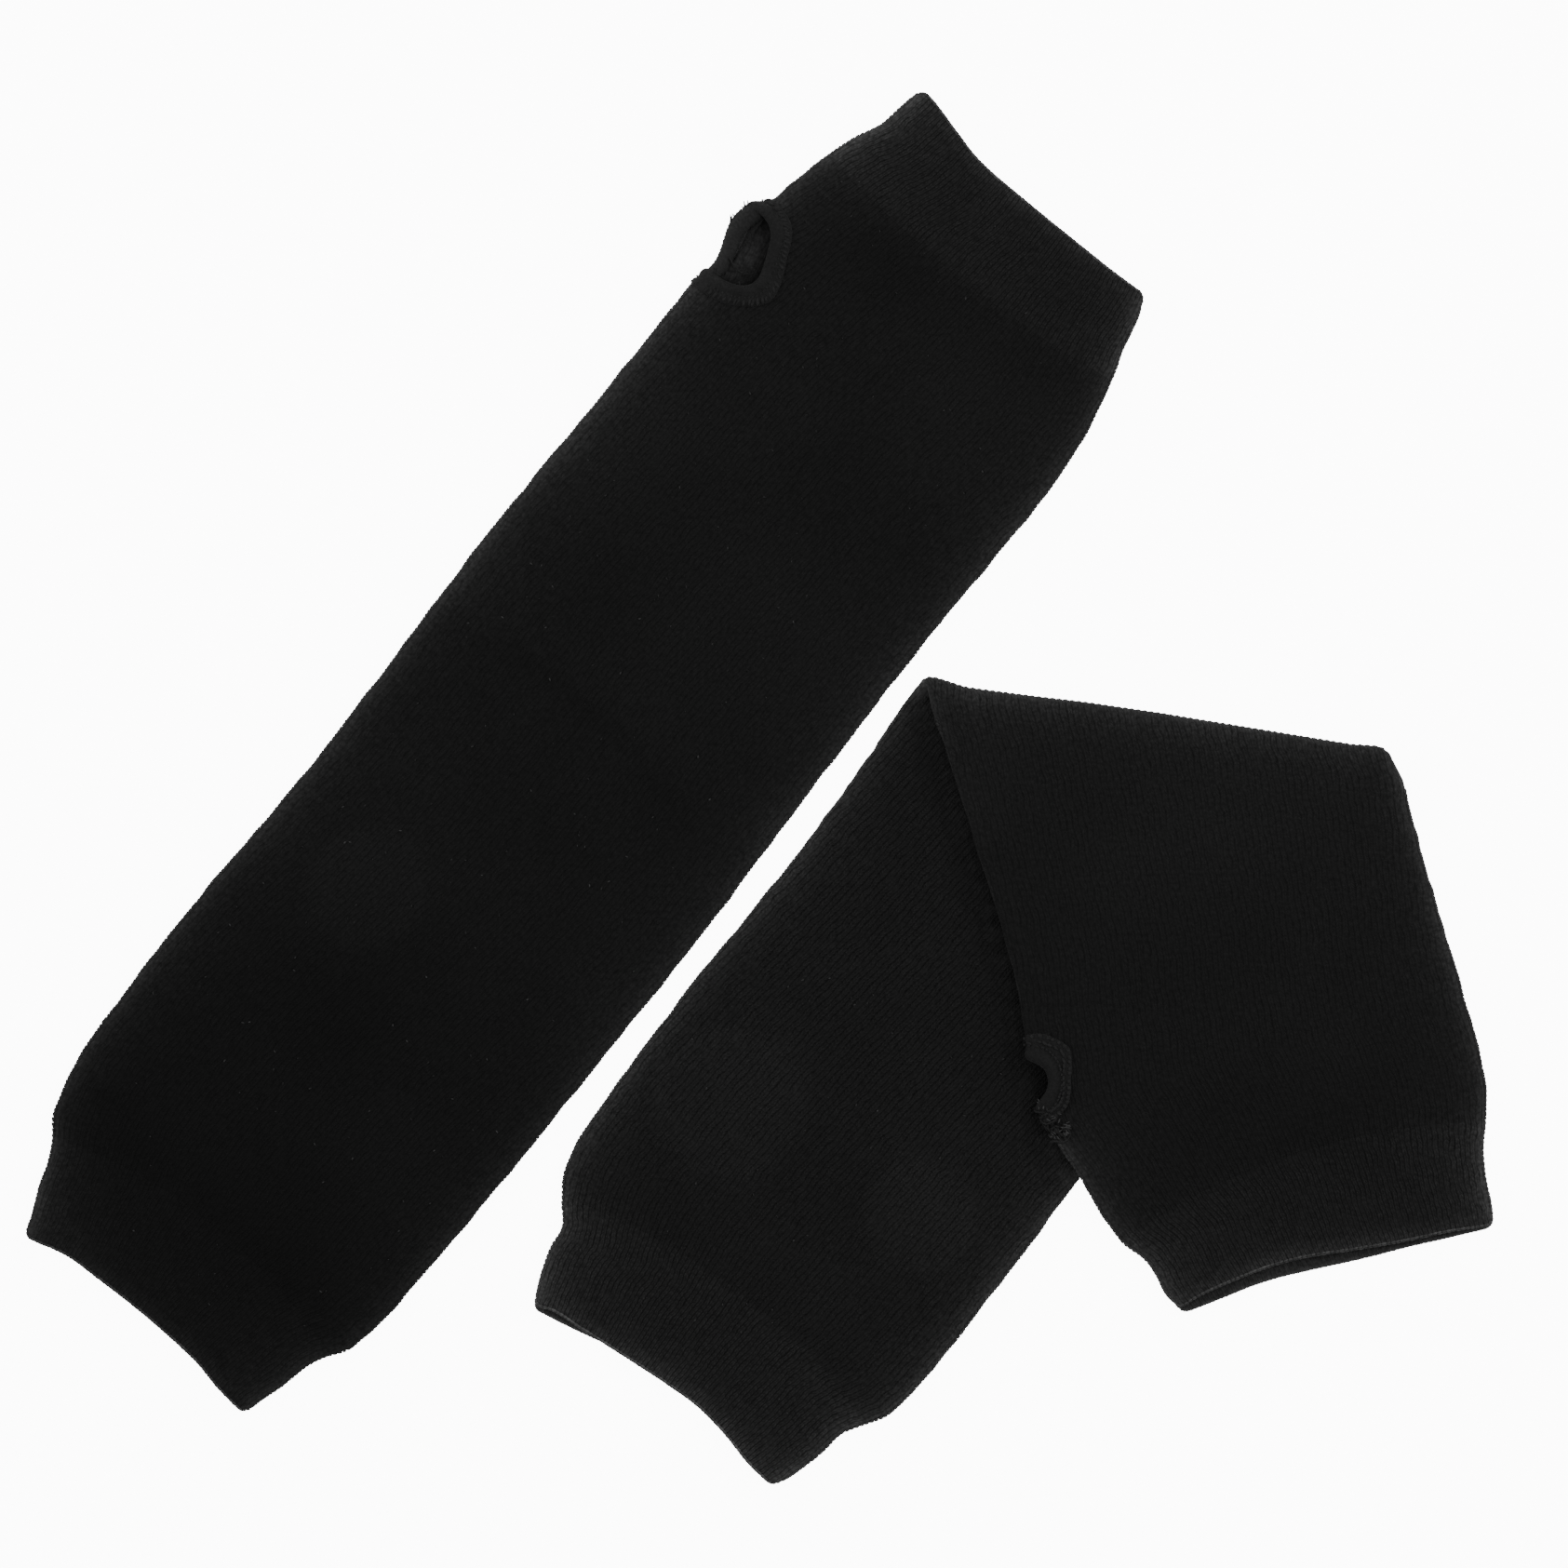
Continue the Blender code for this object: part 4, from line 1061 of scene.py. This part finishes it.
def band_place(sleeve, fraction, from_rim, from_hem):
    """A place on the band, as (station, round_in).

    fraction runs from 0 to 1 around the hole. The place lies from_rim out from the hole's edge, or,
    where from_hem isn't NaN, that far in from the band's outer edge.
    """
    inner, outer = round_band(sleeve.hole, fraction), round_band(sleeve.band, fraction)
    in_from_hem = read_row(sleeve.hem, 1, fraction) - np.nan_to_num(from_hem)
    out = np.where(np.isnan(from_hem), from_rim, in_from_hem)
    place = inner + (outer - inner) * (out / np.linalg.norm(outer - inner, axis=-1))[..., None]
    return place[..., 0], place[..., 1]


# %% Thumb bands
# (out from the hole's edge, in from the outer edge, height over the skin), round the profile
BAND_PROFILE = (
    (-0.15, NONE, -0.35), (-0.5, NONE, 0.05), (-0.6, NONE, 0.5), (-0.35, NONE, 0.95), (0.1, NONE, 1.25),
    (0.6, NONE, 1.35), (1.1, NONE, 1.28), (1.6, NONE, 1.05), (2.0, NONE, 0.78), (2.4, NONE, 0.58),
    (NONE, 2.0, 0.56), (NONE, 1.5, 0.55), (NONE, 0.95, 0.48), (NONE, 0.45, 0.34), (NONE, 0.05, 0.16),
    (NONE, 0.0, 0.04), (NONE, 1.2, 0.02), (2.2, NONE, 0.02), (1.0, NONE, 0.02), (0.3, NONE, 0.0),
)
ON_RIM = (2, 8)                # the profile's points that the wraps of thread press in
BAND_ROWS = 150
CLOSER_ENDS = 0.1              # the rows lie closer at the band's ends
END_HEIGHT, END_SHARE = 0.55, 1 / 30        # there it is flatter, over this share of its length
BAND_FUZZ_SHEEN = 1.6
BAND_ROLL = 0.07               # how deep the thread wraps press into the rolled rim
WRAP_PITCH, WRAP_LEAN = 2.1, 0.9            # of the wraps, in radians a row and a profile point


def finished_piece(mesh, name, slot, *nodes):
    """Makes a bmesh a smooth piece that rides on the sleeves' body."""
    piece = add_object(name, mesh_data(name, mesh))
    piece.data.shade_smooth()
    return dressed(piece, slot, *nodes)


def closed_roll(sleeve, title, node, sides, rows, shape):
    """A band as one closed grid. shape gives its points and, along the sleeve, how far in they lie.

    It gets the way across and the way along, both from 0 to 1.
    """
    mesh = bmesh.new()
    bmesh.ops.create_grid(mesh, x_segments=sides, y_segments=rows, size=1.0)
    flat = (np.array([vertex.co[:] for vertex in mesh.verts]) + 1.0) / 2
    points, s, from_fold = shape(flat[:, 0], flat[:, 1])
    # painted highlight: the band is lighter near the side fold, as the cloth's fuzz sheen is
    light = 1.0 + BAND_FUZZ_SHEEN * read_row(sleeve.glow_left, 1, s) * fuzz_sheen_at(from_fold)
    tone = mesh.verts.layers.float.new("tone")
    for vertex, point, value in zip(mesh.verts, points, light):
        vertex.co, vertex[tone] = point, value
    bmesh.ops.remove_doubles(mesh, verts=mesh.verts, dist=1e-6)
    bmesh.ops.holes_fill(mesh, edges=[edge for edge in mesh.edges if edge.is_boundary], sides=0)
    weld_closed(mesh)
    return finished_piece(mesh, sleeve.name + title, "binding", sleeve.name + node)


def thumb_band(sleeve):
    count = len(BAND_PROFILE)

    def shape(x, y):
        across = np.rint(x * count).astype(int) % count
        row = y * BAND_ROWS
        fraction = row / BAND_ROWS - CLOSER_ENDS * np.sin(2 * math.pi * row / BAND_ROWS)
        from_rim, from_hem, height = np.array(BAND_PROFILE)[across].T
        on_rim = (across >= ON_RIM[0]) & (across <= ON_RIM[1])
        wraps = 0.5 + 0.5 * np.sin(row * WRAP_PITCH + across * WRAP_LEAN)
        height = height - np.where(on_rim, BAND_ROLL * wraps, 0.0)
        end = np.minimum(fraction, 1.0 - fraction) / END_SHARE
        height = height * (END_HEIGHT + (1.0 - END_HEIGHT) * ease(end))
        s, round_in = band_place(sleeve, fraction, np.nan_to_num(from_rim), from_hem)
        return skin_points(sleeve, s, round_in, height), s, round_in

    return closed_roll(sleeve, "_thumb_band", "_thumb_binding", count, BAND_ROWS, shape)


thumb_bands = {one.name: thumb_band(one) for one in SLEEVES}
for band in thumb_bands.values():
    print(band.name, len(band.data.polygons), "faces")

# %% [markdown]
# The overlock's thread lies over the hem in small loops, one for each stitch, and a second row of
# shorter ones sits in the valley beside the rim. Each is a little squashed grain of a few faces,
# set across the band. On the folded sleeve the band's lower end is worn, and its threads lie loose
# over each other.

# %% Overlock stitches
# (station, round in from the fold, lift, spread, how many) of stitches that have come loose
WORN = {
    "straight": (),
    "folded": ((288.4, 1.4, 0.5, 1.2, 12), (291.4, 2.2, 0.5, 1.6, 20), (294.4, 2.8, 0.5, 1.8, 26)),
}
WORN_SIZE, WORN_ANGLES = (0.8, 0.26, 0.26), (0.6, 0.9)      # half axes; mean and spread of the angles
BAND_MIDDLE = 1.5              # in from the hem's outer edge


def stitch_row(sleeve, row, rng):
    """A row of stitches around the band, at one distance from its rim or its outer edge."""
    from_rim, from_hem, size, lift, slant, pitch = row
    s, round_in = band_place(sleeve, np.linspace(0.0, 1.0, 200), 0.0, np.full(200, BAND_MIDDLE))
    count = round(float(np.hypot(np.diff(s), np.diff(round_in)).sum()) / pitch)
    fraction = (np.arange(count) + 0.5 + rng.uniform(-0.2, 0.2, count)) / count
    lifted = lift + rng.uniform(-0.05, 0.07, count)

    def on_band(wide, step):
        place = band_place(sleeve, fraction + step, from_rim + wide, np.full(count, from_hem - wide))
        return skin_points(sleeve, *place, lifted)

    angle = (slant + rng.uniform(-0.25, 0.25, count))[:, None]
    return lying(on_band, 0.3, 0.004, angle, size, rng.uniform(0.85, 1.15, (count, 1)))


def scattered(sleeve, cluster, size, angles, rng):
    """Short threads that lie loose over each other, around one place on the skin."""
    station, round_in, lift, spread, count = cluster
    s = station + spread * rng.normal(0.0, 0.6, count)
    near = round_in + spread * rng.normal(0.0, 0.7, count)
    above = lift + rng.uniform(-0.2, 0.2, count)
    angle = rng.normal(*angles, count)[:, None]
    tip = rng.uniform(-0.35, 0.35, count)[:, None]
    return lying(lambda step, turn: skin_points(sleeve, s + step, near + turn, above),
                 0.3, 0.3, angle, size, rng.uniform(0.7, 1.3, (count, 1)), tip)


def overlock(sleeve):
    rng = np.random.default_rng(sleeve.seed + 2)
    rows = [stitch_row(sleeve, row, rng) for row in sleeve.stitches]
    rows += [scattered(sleeve, cluster, WORN_SIZE, WORN_ANGLES, rng) for cluster in WORN[sleeve.name]]
    return grains(sleeve.name + "_overlock_stitches", "binding", rows, subdivisions=2)


overlocks = {one.name: overlock(one) for one in SLEEVES}
for sewing in overlocks.values():
    print(sewing.name, len(sewing.data.polygons), "faces")

# %% [markdown]
# Through the straight sleeve's hole the far half of the band shows. It lies on the lower panel,
# rolled over the edge of the cloth, and its outer edge is the outline of the sleeve there. Two
# frayed tips stand out of it, and a pulled thread crosses it. Where a band was cut or is worn,
# some of its threads end in loose, frayed tips.

# %% The far half of the straight sleeve's band
# (station, half width, half height, level) of a soft roll along the fold
UNDER_BAND = (
    (310.6, 1.6, 0.6, 2.6), (309.0, 2.1, 0.85, 2.55), (307.0, 2.5, 1.0, 2.4), (304.6, 2.5, 1.0, 2.3),
    (302.2, 2.4, 1.0, 2.25), (300.0, 2.3, 0.95, 2.2), (297.6, 2.15, 0.9, 2.2), (295.0, 2.05, 0.9, 2.2),
    (292.4, 1.95, 0.9, 2.2), (290.0, 1.9, 0.9, 2.25), (288.0, 1.8, 0.85, 2.35), (286.2, 1.7, 0.8, 2.45),
    (284.4, 1.3, 0.6, 2.5),
)
UNDER_OUT = 0.3                # how far it stands out past the fold below it
UNDER_ROWS = 110
UNDER_SIDES = 24
UNDER_WRAPS = (0.04, 190.0, 0.6)            # depth, radians from end to end, and lean


def evenly(marks, share):
    """Smooth curves through the columns of marks that are evenly spaced, read at shares of the way."""
    rows = np.column_stack((np.linspace(0.0, 1.0, len(marks)), np.array(marks)))
    return [read_row(rows, column, share) for column in range(1, rows.shape[1])]


def under_shape(x, y):
    turn = 2 * np.pi * x
    s, half_width, half_height, level = evenly(UNDER_BAND, y)
    deep, pitch, lean = UNDER_WRAPS
    wraps = 1.0 + deep * np.sin(y * pitch + lean * turn)
    left = read_row(STRAIGHT.rows, LEFT, s) - UNDER_OUT
    t = left + half_width + half_width * np.cos(turn) * wraps
    z = level + half_height * np.sin(turn) * wraps
    return placed(STRAIGHT, s, t, z), s, t - left


far_band = closed_roll(STRAIGHT, "_thumb_band_under", "_thumb_binding_under",
                       UNDER_SIDES, UNDER_ROWS, under_shape)
print(far_band.name, len(far_band.data.polygons), "faces")

# %% Loose threads and frayed ends
# each: half thickness, then (station, across or round in, height) points along the thread
THREADS = {
    "straight": (
        (0.26, (305.2, -52.4, 2.6), (306.6, -53.6, 2.5), (307.6, -54.7, 2.3)),
        (0.22, (306.0, -52.2, 2.9), (307.6, -53.4, 2.8), (308.3, -54.1, 2.6)),
        (0.24, (300.6, -52.8, 2.6), (301.9, -54.2, 2.5), (302.9, -55.2, 2.3)),
        (0.2, (302.4, -53.0, 2.8), (303.2, -54.2, 2.7), (303.4, -55.0, 2.6)),
        (0.22, (294.6, -48.8, 3.2), (293.6, -46.4, 2.9), (293.6, -44.0, 2.4), (295.0, -41.8, 2.0)),
        (0.26, (291.4, -43.4, 2.6), (290.4, -42.2, 2.8), (289.7, -41.2, 2.6)),
        (0.2, (290.6, -50.0, 3.1), (289.2, -49.4, 3.3), (287.6, -50.2, 3.2)),
    ),
    "folded": (
        (0.2, (287.2, -0.4, 1.3), (288.2, 0.9, 1.7), (288.9, 2.4, 1.2)),
        (0.2, (290.6, 0.9, 1.2), (291.8, 2.2, 1.6), (291.2, 3.8, 1.2)),
        (0.2, (296.6, -0.6, 1.0), (296.2, 1.2, 1.5), (297.2, 2.8, 1.3), (296.2, 4.4, 0.9)),
    ),
}
THREAD_STEPS = 14
THREAD_TAPER = 0.6
# the clusters, as above
FRAYS = {
    "straight": ((307.0, 0.3, 0.5, 0.8, 4), (302.4, 0.0, 0.4, 0.7, 4)),
    "folded": ((287.0, 1.6, 1.1, 0.7, 5), (291.0, 3.0, 1.1, 0.8, 6), (293.6, 5.2, 0.9, 0.6, 5),
               (295.0, 1.4, 0.9, 0.8, 8), (295.2, 3.8, 0.9, 0.9, 11)),
}
FRAY_SIZE, FRAY_ANGLES = (0.62, 0.17, 0.17), (0.9, 0.6)


def loose_threads(sleeve, point_at):
    """Tapered threads along smooth curves, as one piece."""
    mesh = bmesh.new()
    share = np.linspace(0.0, 1.0, THREAD_STEPS)
    for half, *marks in THREADS[sleeve.name]:
        curve = bpy.data.curves.new("thread", "CURVE")
        curve.dimensions, curve.bevel_depth, curve.bevel_resolution = "3D", half * MM, 1
        curve.use_fill_caps = True
        spline = curve.splines.new("POLY")
        spline.points.add(THREAD_STEPS - 1)
        for point, place, part in zip(spline.points, point_at(sleeve, *evenly(marks, share)), share):
            point.co = (*place, 1.0)
            point.radius = 1.0 - THREAD_TAPER * part ** 3
        strand = bpy.data.objects.new("thread", curve)
        tube = bpy.data.meshes.new_from_object(strand)
        mesh.from_mesh(tube)
        bpy.data.objects.remove(strand)
        bpy.data.curves.remove(curve)
        bpy.data.meshes.remove(tube)
    weld_closed(mesh)
    return finished_piece(mesh, sleeve.name + "_loose_threads", "binding")


def frays(sleeve):
    rng = np.random.default_rng(sleeve.seed + 3)
    clusters = [scattered(sleeve, cluster, FRAY_SIZE, FRAY_ANGLES, rng) for cluster in FRAYS[sleeve.name]]
    return grains(sleeve.name + "_frayed_ends", "binding", clusters)


threads = {"straight": loose_threads(STRAIGHT, placed), "folded": loose_threads(FOLDED, skin_points)}
frayed = {one.name: frays(one) for one in SLEEVES}
for piece in (*threads.values(), *frayed.values()):
    print(piece.name, len(piece.data.polygons), "faces")

# %% [markdown]
# The knit is far finer than the grid, so the stitches themselves are in the material. A node group
# draws them from the piece's own UV map, which counts wales across and millimetres along: two
# slanted legs a wale, a V for every course. It puts out a height for the bump and a shade, because
# the grooves between the yarns stay dark. A second group adds what a dyed cloth has: soft clouds of
# a little more and less black, patches a few stitches wide where the knit is slacker or tighter, so
# that its lines wander and fade, and the unevenness of its fibres.

# %% The node groups for the stitches and the clouds
FULL_TURN = 2.0 * math.pi
YARN_ROUND = 0.6               # under 1, so a yarn's top is broad and the groove beside it narrow
LUMP_SHARE = 0.55              # the part of a yarn's height that comes and goes with each stitch
CREST_LIGHT = 0.4              # the part of the shade that follows the wale, not the yarn
JERSEY_STITCH = {"Course": COURSE, "Slant": 0.8, "Stagger": 0.0}
RIB_STITCH = {"Course": 1.0, "Slant": 0.5, "Stagger": 0.5}
CLOTH_CLOUDS = {"Cloud Size": 30.0, "Patch Size": 260.0, "Fibre Size": 1100.0}
THREAD_CLOUDS = {"Cloud Size": 250.0, "Fibre Size": 1600.0}
CLOUD_DETAIL = {"Cloud": 3.0, "Patch": 1.0, "Fibre": 1.0}


def group_tree(name, vector, numbers, outputs):
    """A shader node group: a vector and numbers with defaults come in, and numbers come out."""
    tree = bpy.data.node_groups.new(name, "ShaderNodeTree")
    tree.interface.new_socket(name=vector, in_out="INPUT", socket_type="NodeSocketVector")
    for title, value in numbers.items():
        socket = tree.interface.new_socket(name=title, in_out="INPUT", socket_type="NodeSocketFloat")
        socket.default_value = value
    for title in outputs:
        tree.interface.new_socket(name=title, in_out="OUTPUT", socket_type="NodeSocketFloat")
    return tree, tree.nodes.new("NodeGroupInput").outputs, tree.nodes.new("NodeGroupOutput").inputs


def math_node(tree, operation, *values):
    """A Math node of sockets and plain numbers. Gives its output socket."""
    return add_node(tree, "Math", dict(enumerate(values)), operation=operation)[0]


def stitch_group():
    tree, given, made = group_tree("knit stitches", "Knit", JERSEY_STITCH, ("Height", "Shade"))
    do = partial(math_node, tree)
    parts = add_node(tree, "SeparateXYZ", {0: given["Knit"]})
    wale = parts["X"]
    crest = do("ABSOLUTE", do("MULTIPLY_ADD", do("FRACT", wale), 2.0, -1.0))
    odd = do("MODULO", do("ROUND", wale), 2.0)
    shift = do("MULTIPLY_ADD", crest, given["Slant"], do("MULTIPLY", odd, given["Stagger"]))
    course = do("ADD", do("DIVIDE", parts["Y"], given["Course"]), shift)
    lump = do("MULTIPLY_ADD", do("SINE", do("MULTIPLY", course, FULL_TURN)), 0.5, 0.5)
    yarn = do("POWER", do("ABSOLUTE", do("SINE", do("MULTIPLY", wale, FULL_TURN))), YARN_ROUND)
    height = do("MULTIPLY", yarn, do("MULTIPLY_ADD", lump, LUMP_SHARE, 1.0 - LUMP_SHARE))
    light = do("MULTIPLY_ADD", crest, CREST_LIGHT, do("MULTIPLY", height, 1.0 - CREST_LIGHT))
    tree.links.new(height, made["Height"])
    tree.links.new(light, made["Shade"])
    return tree


def cloud_group():
    tree, given, made = group_tree("cloth clouds", "Place", CLOTH_CLOUDS, CLOUD_DETAIL)
    for title, detail in CLOUD_DETAIL.items():
        noise = {"Vector": given["Place"], "Scale": given[title + " Size"], "Detail": detail}
        tree.links.new(add_node(tree, "TexNoise", noise)["Fac"], made[title])
    return tree


STITCHES, CLOUDS = stitch_group(), cloud_group()
print("node groups:", STITCHES.name, "with", len(STITCHES.nodes), "nodes,", CLOUDS.name)

# %% [markdown]
# The cloth's black comes from the stitches, the clouds, the tone that each piece carries from
# station to station, and the painted fuzz sheen, a painted highlight that is strong where the
# cloth turns over a fold and stands for the white of the studio caught there. The sheen of the
# loose fibres is set on the shader itself.

# %% Knit materials
JERSEY_BLACK, RIB_BLACK = 0.0062, 0.0066
RIB_BUMP = 0.16
KNIT_SURFACE, THREAD_SURFACE = (0.85, 0.1), (0.75, 0.12)    # roughness and specular level
SHEEN, SHEEN_ROUGHNESS = 0.05, 0.45
STITCH_CONTRAST, MIDDLE_LIGHT = 1.1, 0.95
# the painted fuzz sheen: how much it lightens the black, and how uneven it is
FUZZ_SHEEN_LIGHT, FUZZ_SHEEN_GRAIN = 4.0, 0.8
WANDER = (1.0, 1.2)            # how far the stitches wander, in wales and in millimetres
FADING = 2.2                   # how much the knit's lines fade and come back from patch to patch
CLOUDING = 0.6                 # how uneven the clouds make the black
GRAIN, THREAD_GRAIN = 1.3, 1.2              # and how uneven the fibres do


def uneven(noise, amount):
    """A factor around 1, from a noise around a half."""
    return math_node(noise.id_data, "MULTIPLY_ADD", noise, amount, 1.0 - amount / 2)


def from_points(tree, title):
    """A number that the mesh keeps for each of its points."""
    return add_node(tree, "Attribute", {}, attribute_name=title)["Fac"]


def cloth_paint(name, surface, sizes):
    """A material with the sheen of loose fibres, its node tree and what its clouds put out."""
    paint, tree, given = new_paint(name, *surface)
    given["Sheen Weight"].default_value = SHEEN
    given["Sheen Roughness"].default_value = SHEEN_ROUGHNESS
    place = add_node(tree, "TexCoord", {})["Object"]
    return paint, tree, add_node(tree, "Group", {"Place": place, **sizes}, node_tree=CLOUDS)


def finish_paint(paint, factors, height, distance):
    """Gives a material the product of the factors as its grey, and a height as its bump."""
    tree = paint.node_tree
    given = tree.nodes["Principled BSDF"].inputs
    light = reduce(partial(math_node, tree, "MULTIPLY"), factors)
    grey = add_node(tree, "CombineColor", {"Red": light, "Green": light, "Blue": light})
    tree.links.new(grey["Color"], given["Base Color"])
    relief = add_node(tree, "Bump", {"Distance": distance * MM, "Height": height})
    tree.links.new(relief["Normal"], given["Normal"])
    return paint


def knit_material(name, black, stitch, bump):
    paint, tree, clouds = cloth_paint(name, KNIT_SURFACE, {})
    do = partial(math_node, tree)
    wander = {axis: do("MULTIPLY_ADD", clouds[noise], reach, -reach / 2)
              for axis, noise, reach in (("X", "Patch", WANDER[0]), ("Y", "Fibre", WANDER[1]))}
    flat = add_node(tree, "UVMap", {}, uv_map="knit")["UV"]
    moved = add_node(tree, "CombineXYZ", wander)[0]
    knit = add_node(tree, "VectorMath", {0: flat, 1: moved}, operation="ADD")[0]
    stitches = add_node(tree, "Group", {"Knit": knit, **stitch}, node_tree=STITCHES)
    depth = do("MULTIPLY", from_points(tree, "contrast"), uneven(clouds["Patch"], FADING))
    light = do("MULTIPLY_ADD", stitches["Shade"], STITCH_CONTRAST, -STITCH_CONTRAST / 2)
    light = do("MULTIPLY_ADD", light, depth, MIDDLE_LIGHT)
    # the painted highlight of the fuzz sheen, uneven with the fibres
    loose = do("MULTIPLY", from_points(tree, "fuzz"), uneven(clouds["Fibre"], FUZZ_SHEEN_GRAIN))
    factors = (light, uneven(clouds["Cloud"], CLOUDING), uneven(clouds["Fibre"], GRAIN),
               from_points(tree, "tone"), do("MULTIPLY_ADD", loose, FUZZ_SHEEN_LIGHT, 1.0), black)
    return finish_paint(paint, factors, do("MULTIPLY", stitches["Height"], depth), bump)


for one in SLEEVES:
    jersey = knit_material(one.name + " jersey", JERSEY_BLACK, JERSEY_STITCH, one.bump)
    rib = knit_material(one.name + " rib", RIB_BLACK, RIB_STITCH, RIB_BUMP)
    bodies[one.name].data.materials.clear()
    bodies[one.name].data.materials.append(jersey)
    for at_hand in (False, True):
        cuffs[one.name, at_hand].data.materials.append(rib)
print("materials:", len(bpy.data.materials))

# %% [markdown]
# The band and its stitches are a smoother, tighter thread than the knit, so they are a little
# lighter and more even. Frayed tips and lint are single fibres and the lightest of all; on the
# frayed tips that lightness is a painted glint.

# %% Thread material
THREAD_PAINTS = (              # name, black, whether the piece has its own tone, and the pieces
    ("thumb band", 0.0078, True, (*thumb_bands.values(), far_band)),
    ("overlock", 0.0125, False, (*overlocks.values(), *threads.values())),
    # the edge stitches' grey is far lighter than the jersey's, a painted highlight on the folds and lips
    ("edge stitches", 0.03, True, [piece for pieces in edge_stitches.values() for piece in pieces]),
    # painted glints: the frayed tips' grey is far lighter than the thread's
    ("frayed thread", 0.038, False, frayed.values()),
    ("lint", 0.038, True, lint.values()),
)
THREAD_BUMP = 0.08

for name, black, own_tone, pieces in THREAD_PAINTS:
    paint, tree, clouds = cloth_paint(name, THREAD_SURFACE, THREAD_CLOUDS)
    factors = [uneven(clouds["Fibre"], THREAD_GRAIN), uneven(clouds["Cloud"], CLOUDING), black]
    if own_tone:
        factors.append(from_points(tree, "tone"))
    finish_paint(paint, factors, clouds["Fibre"], THREAD_BUMP)
    for piece in pieces:
        piece.data.materials.append(paint)
    print(name, "on", [piece.name for piece in pieces])

# %% [markdown]
# Each tube's flat size, to which it is knitted: once around, and its length.

# %% The cloth's flat sizes
for one in SLEEVES:
    print(one.name, "body, flat, mm:", BODY_ROUND, "x", one.hand_join - one.arm_join)
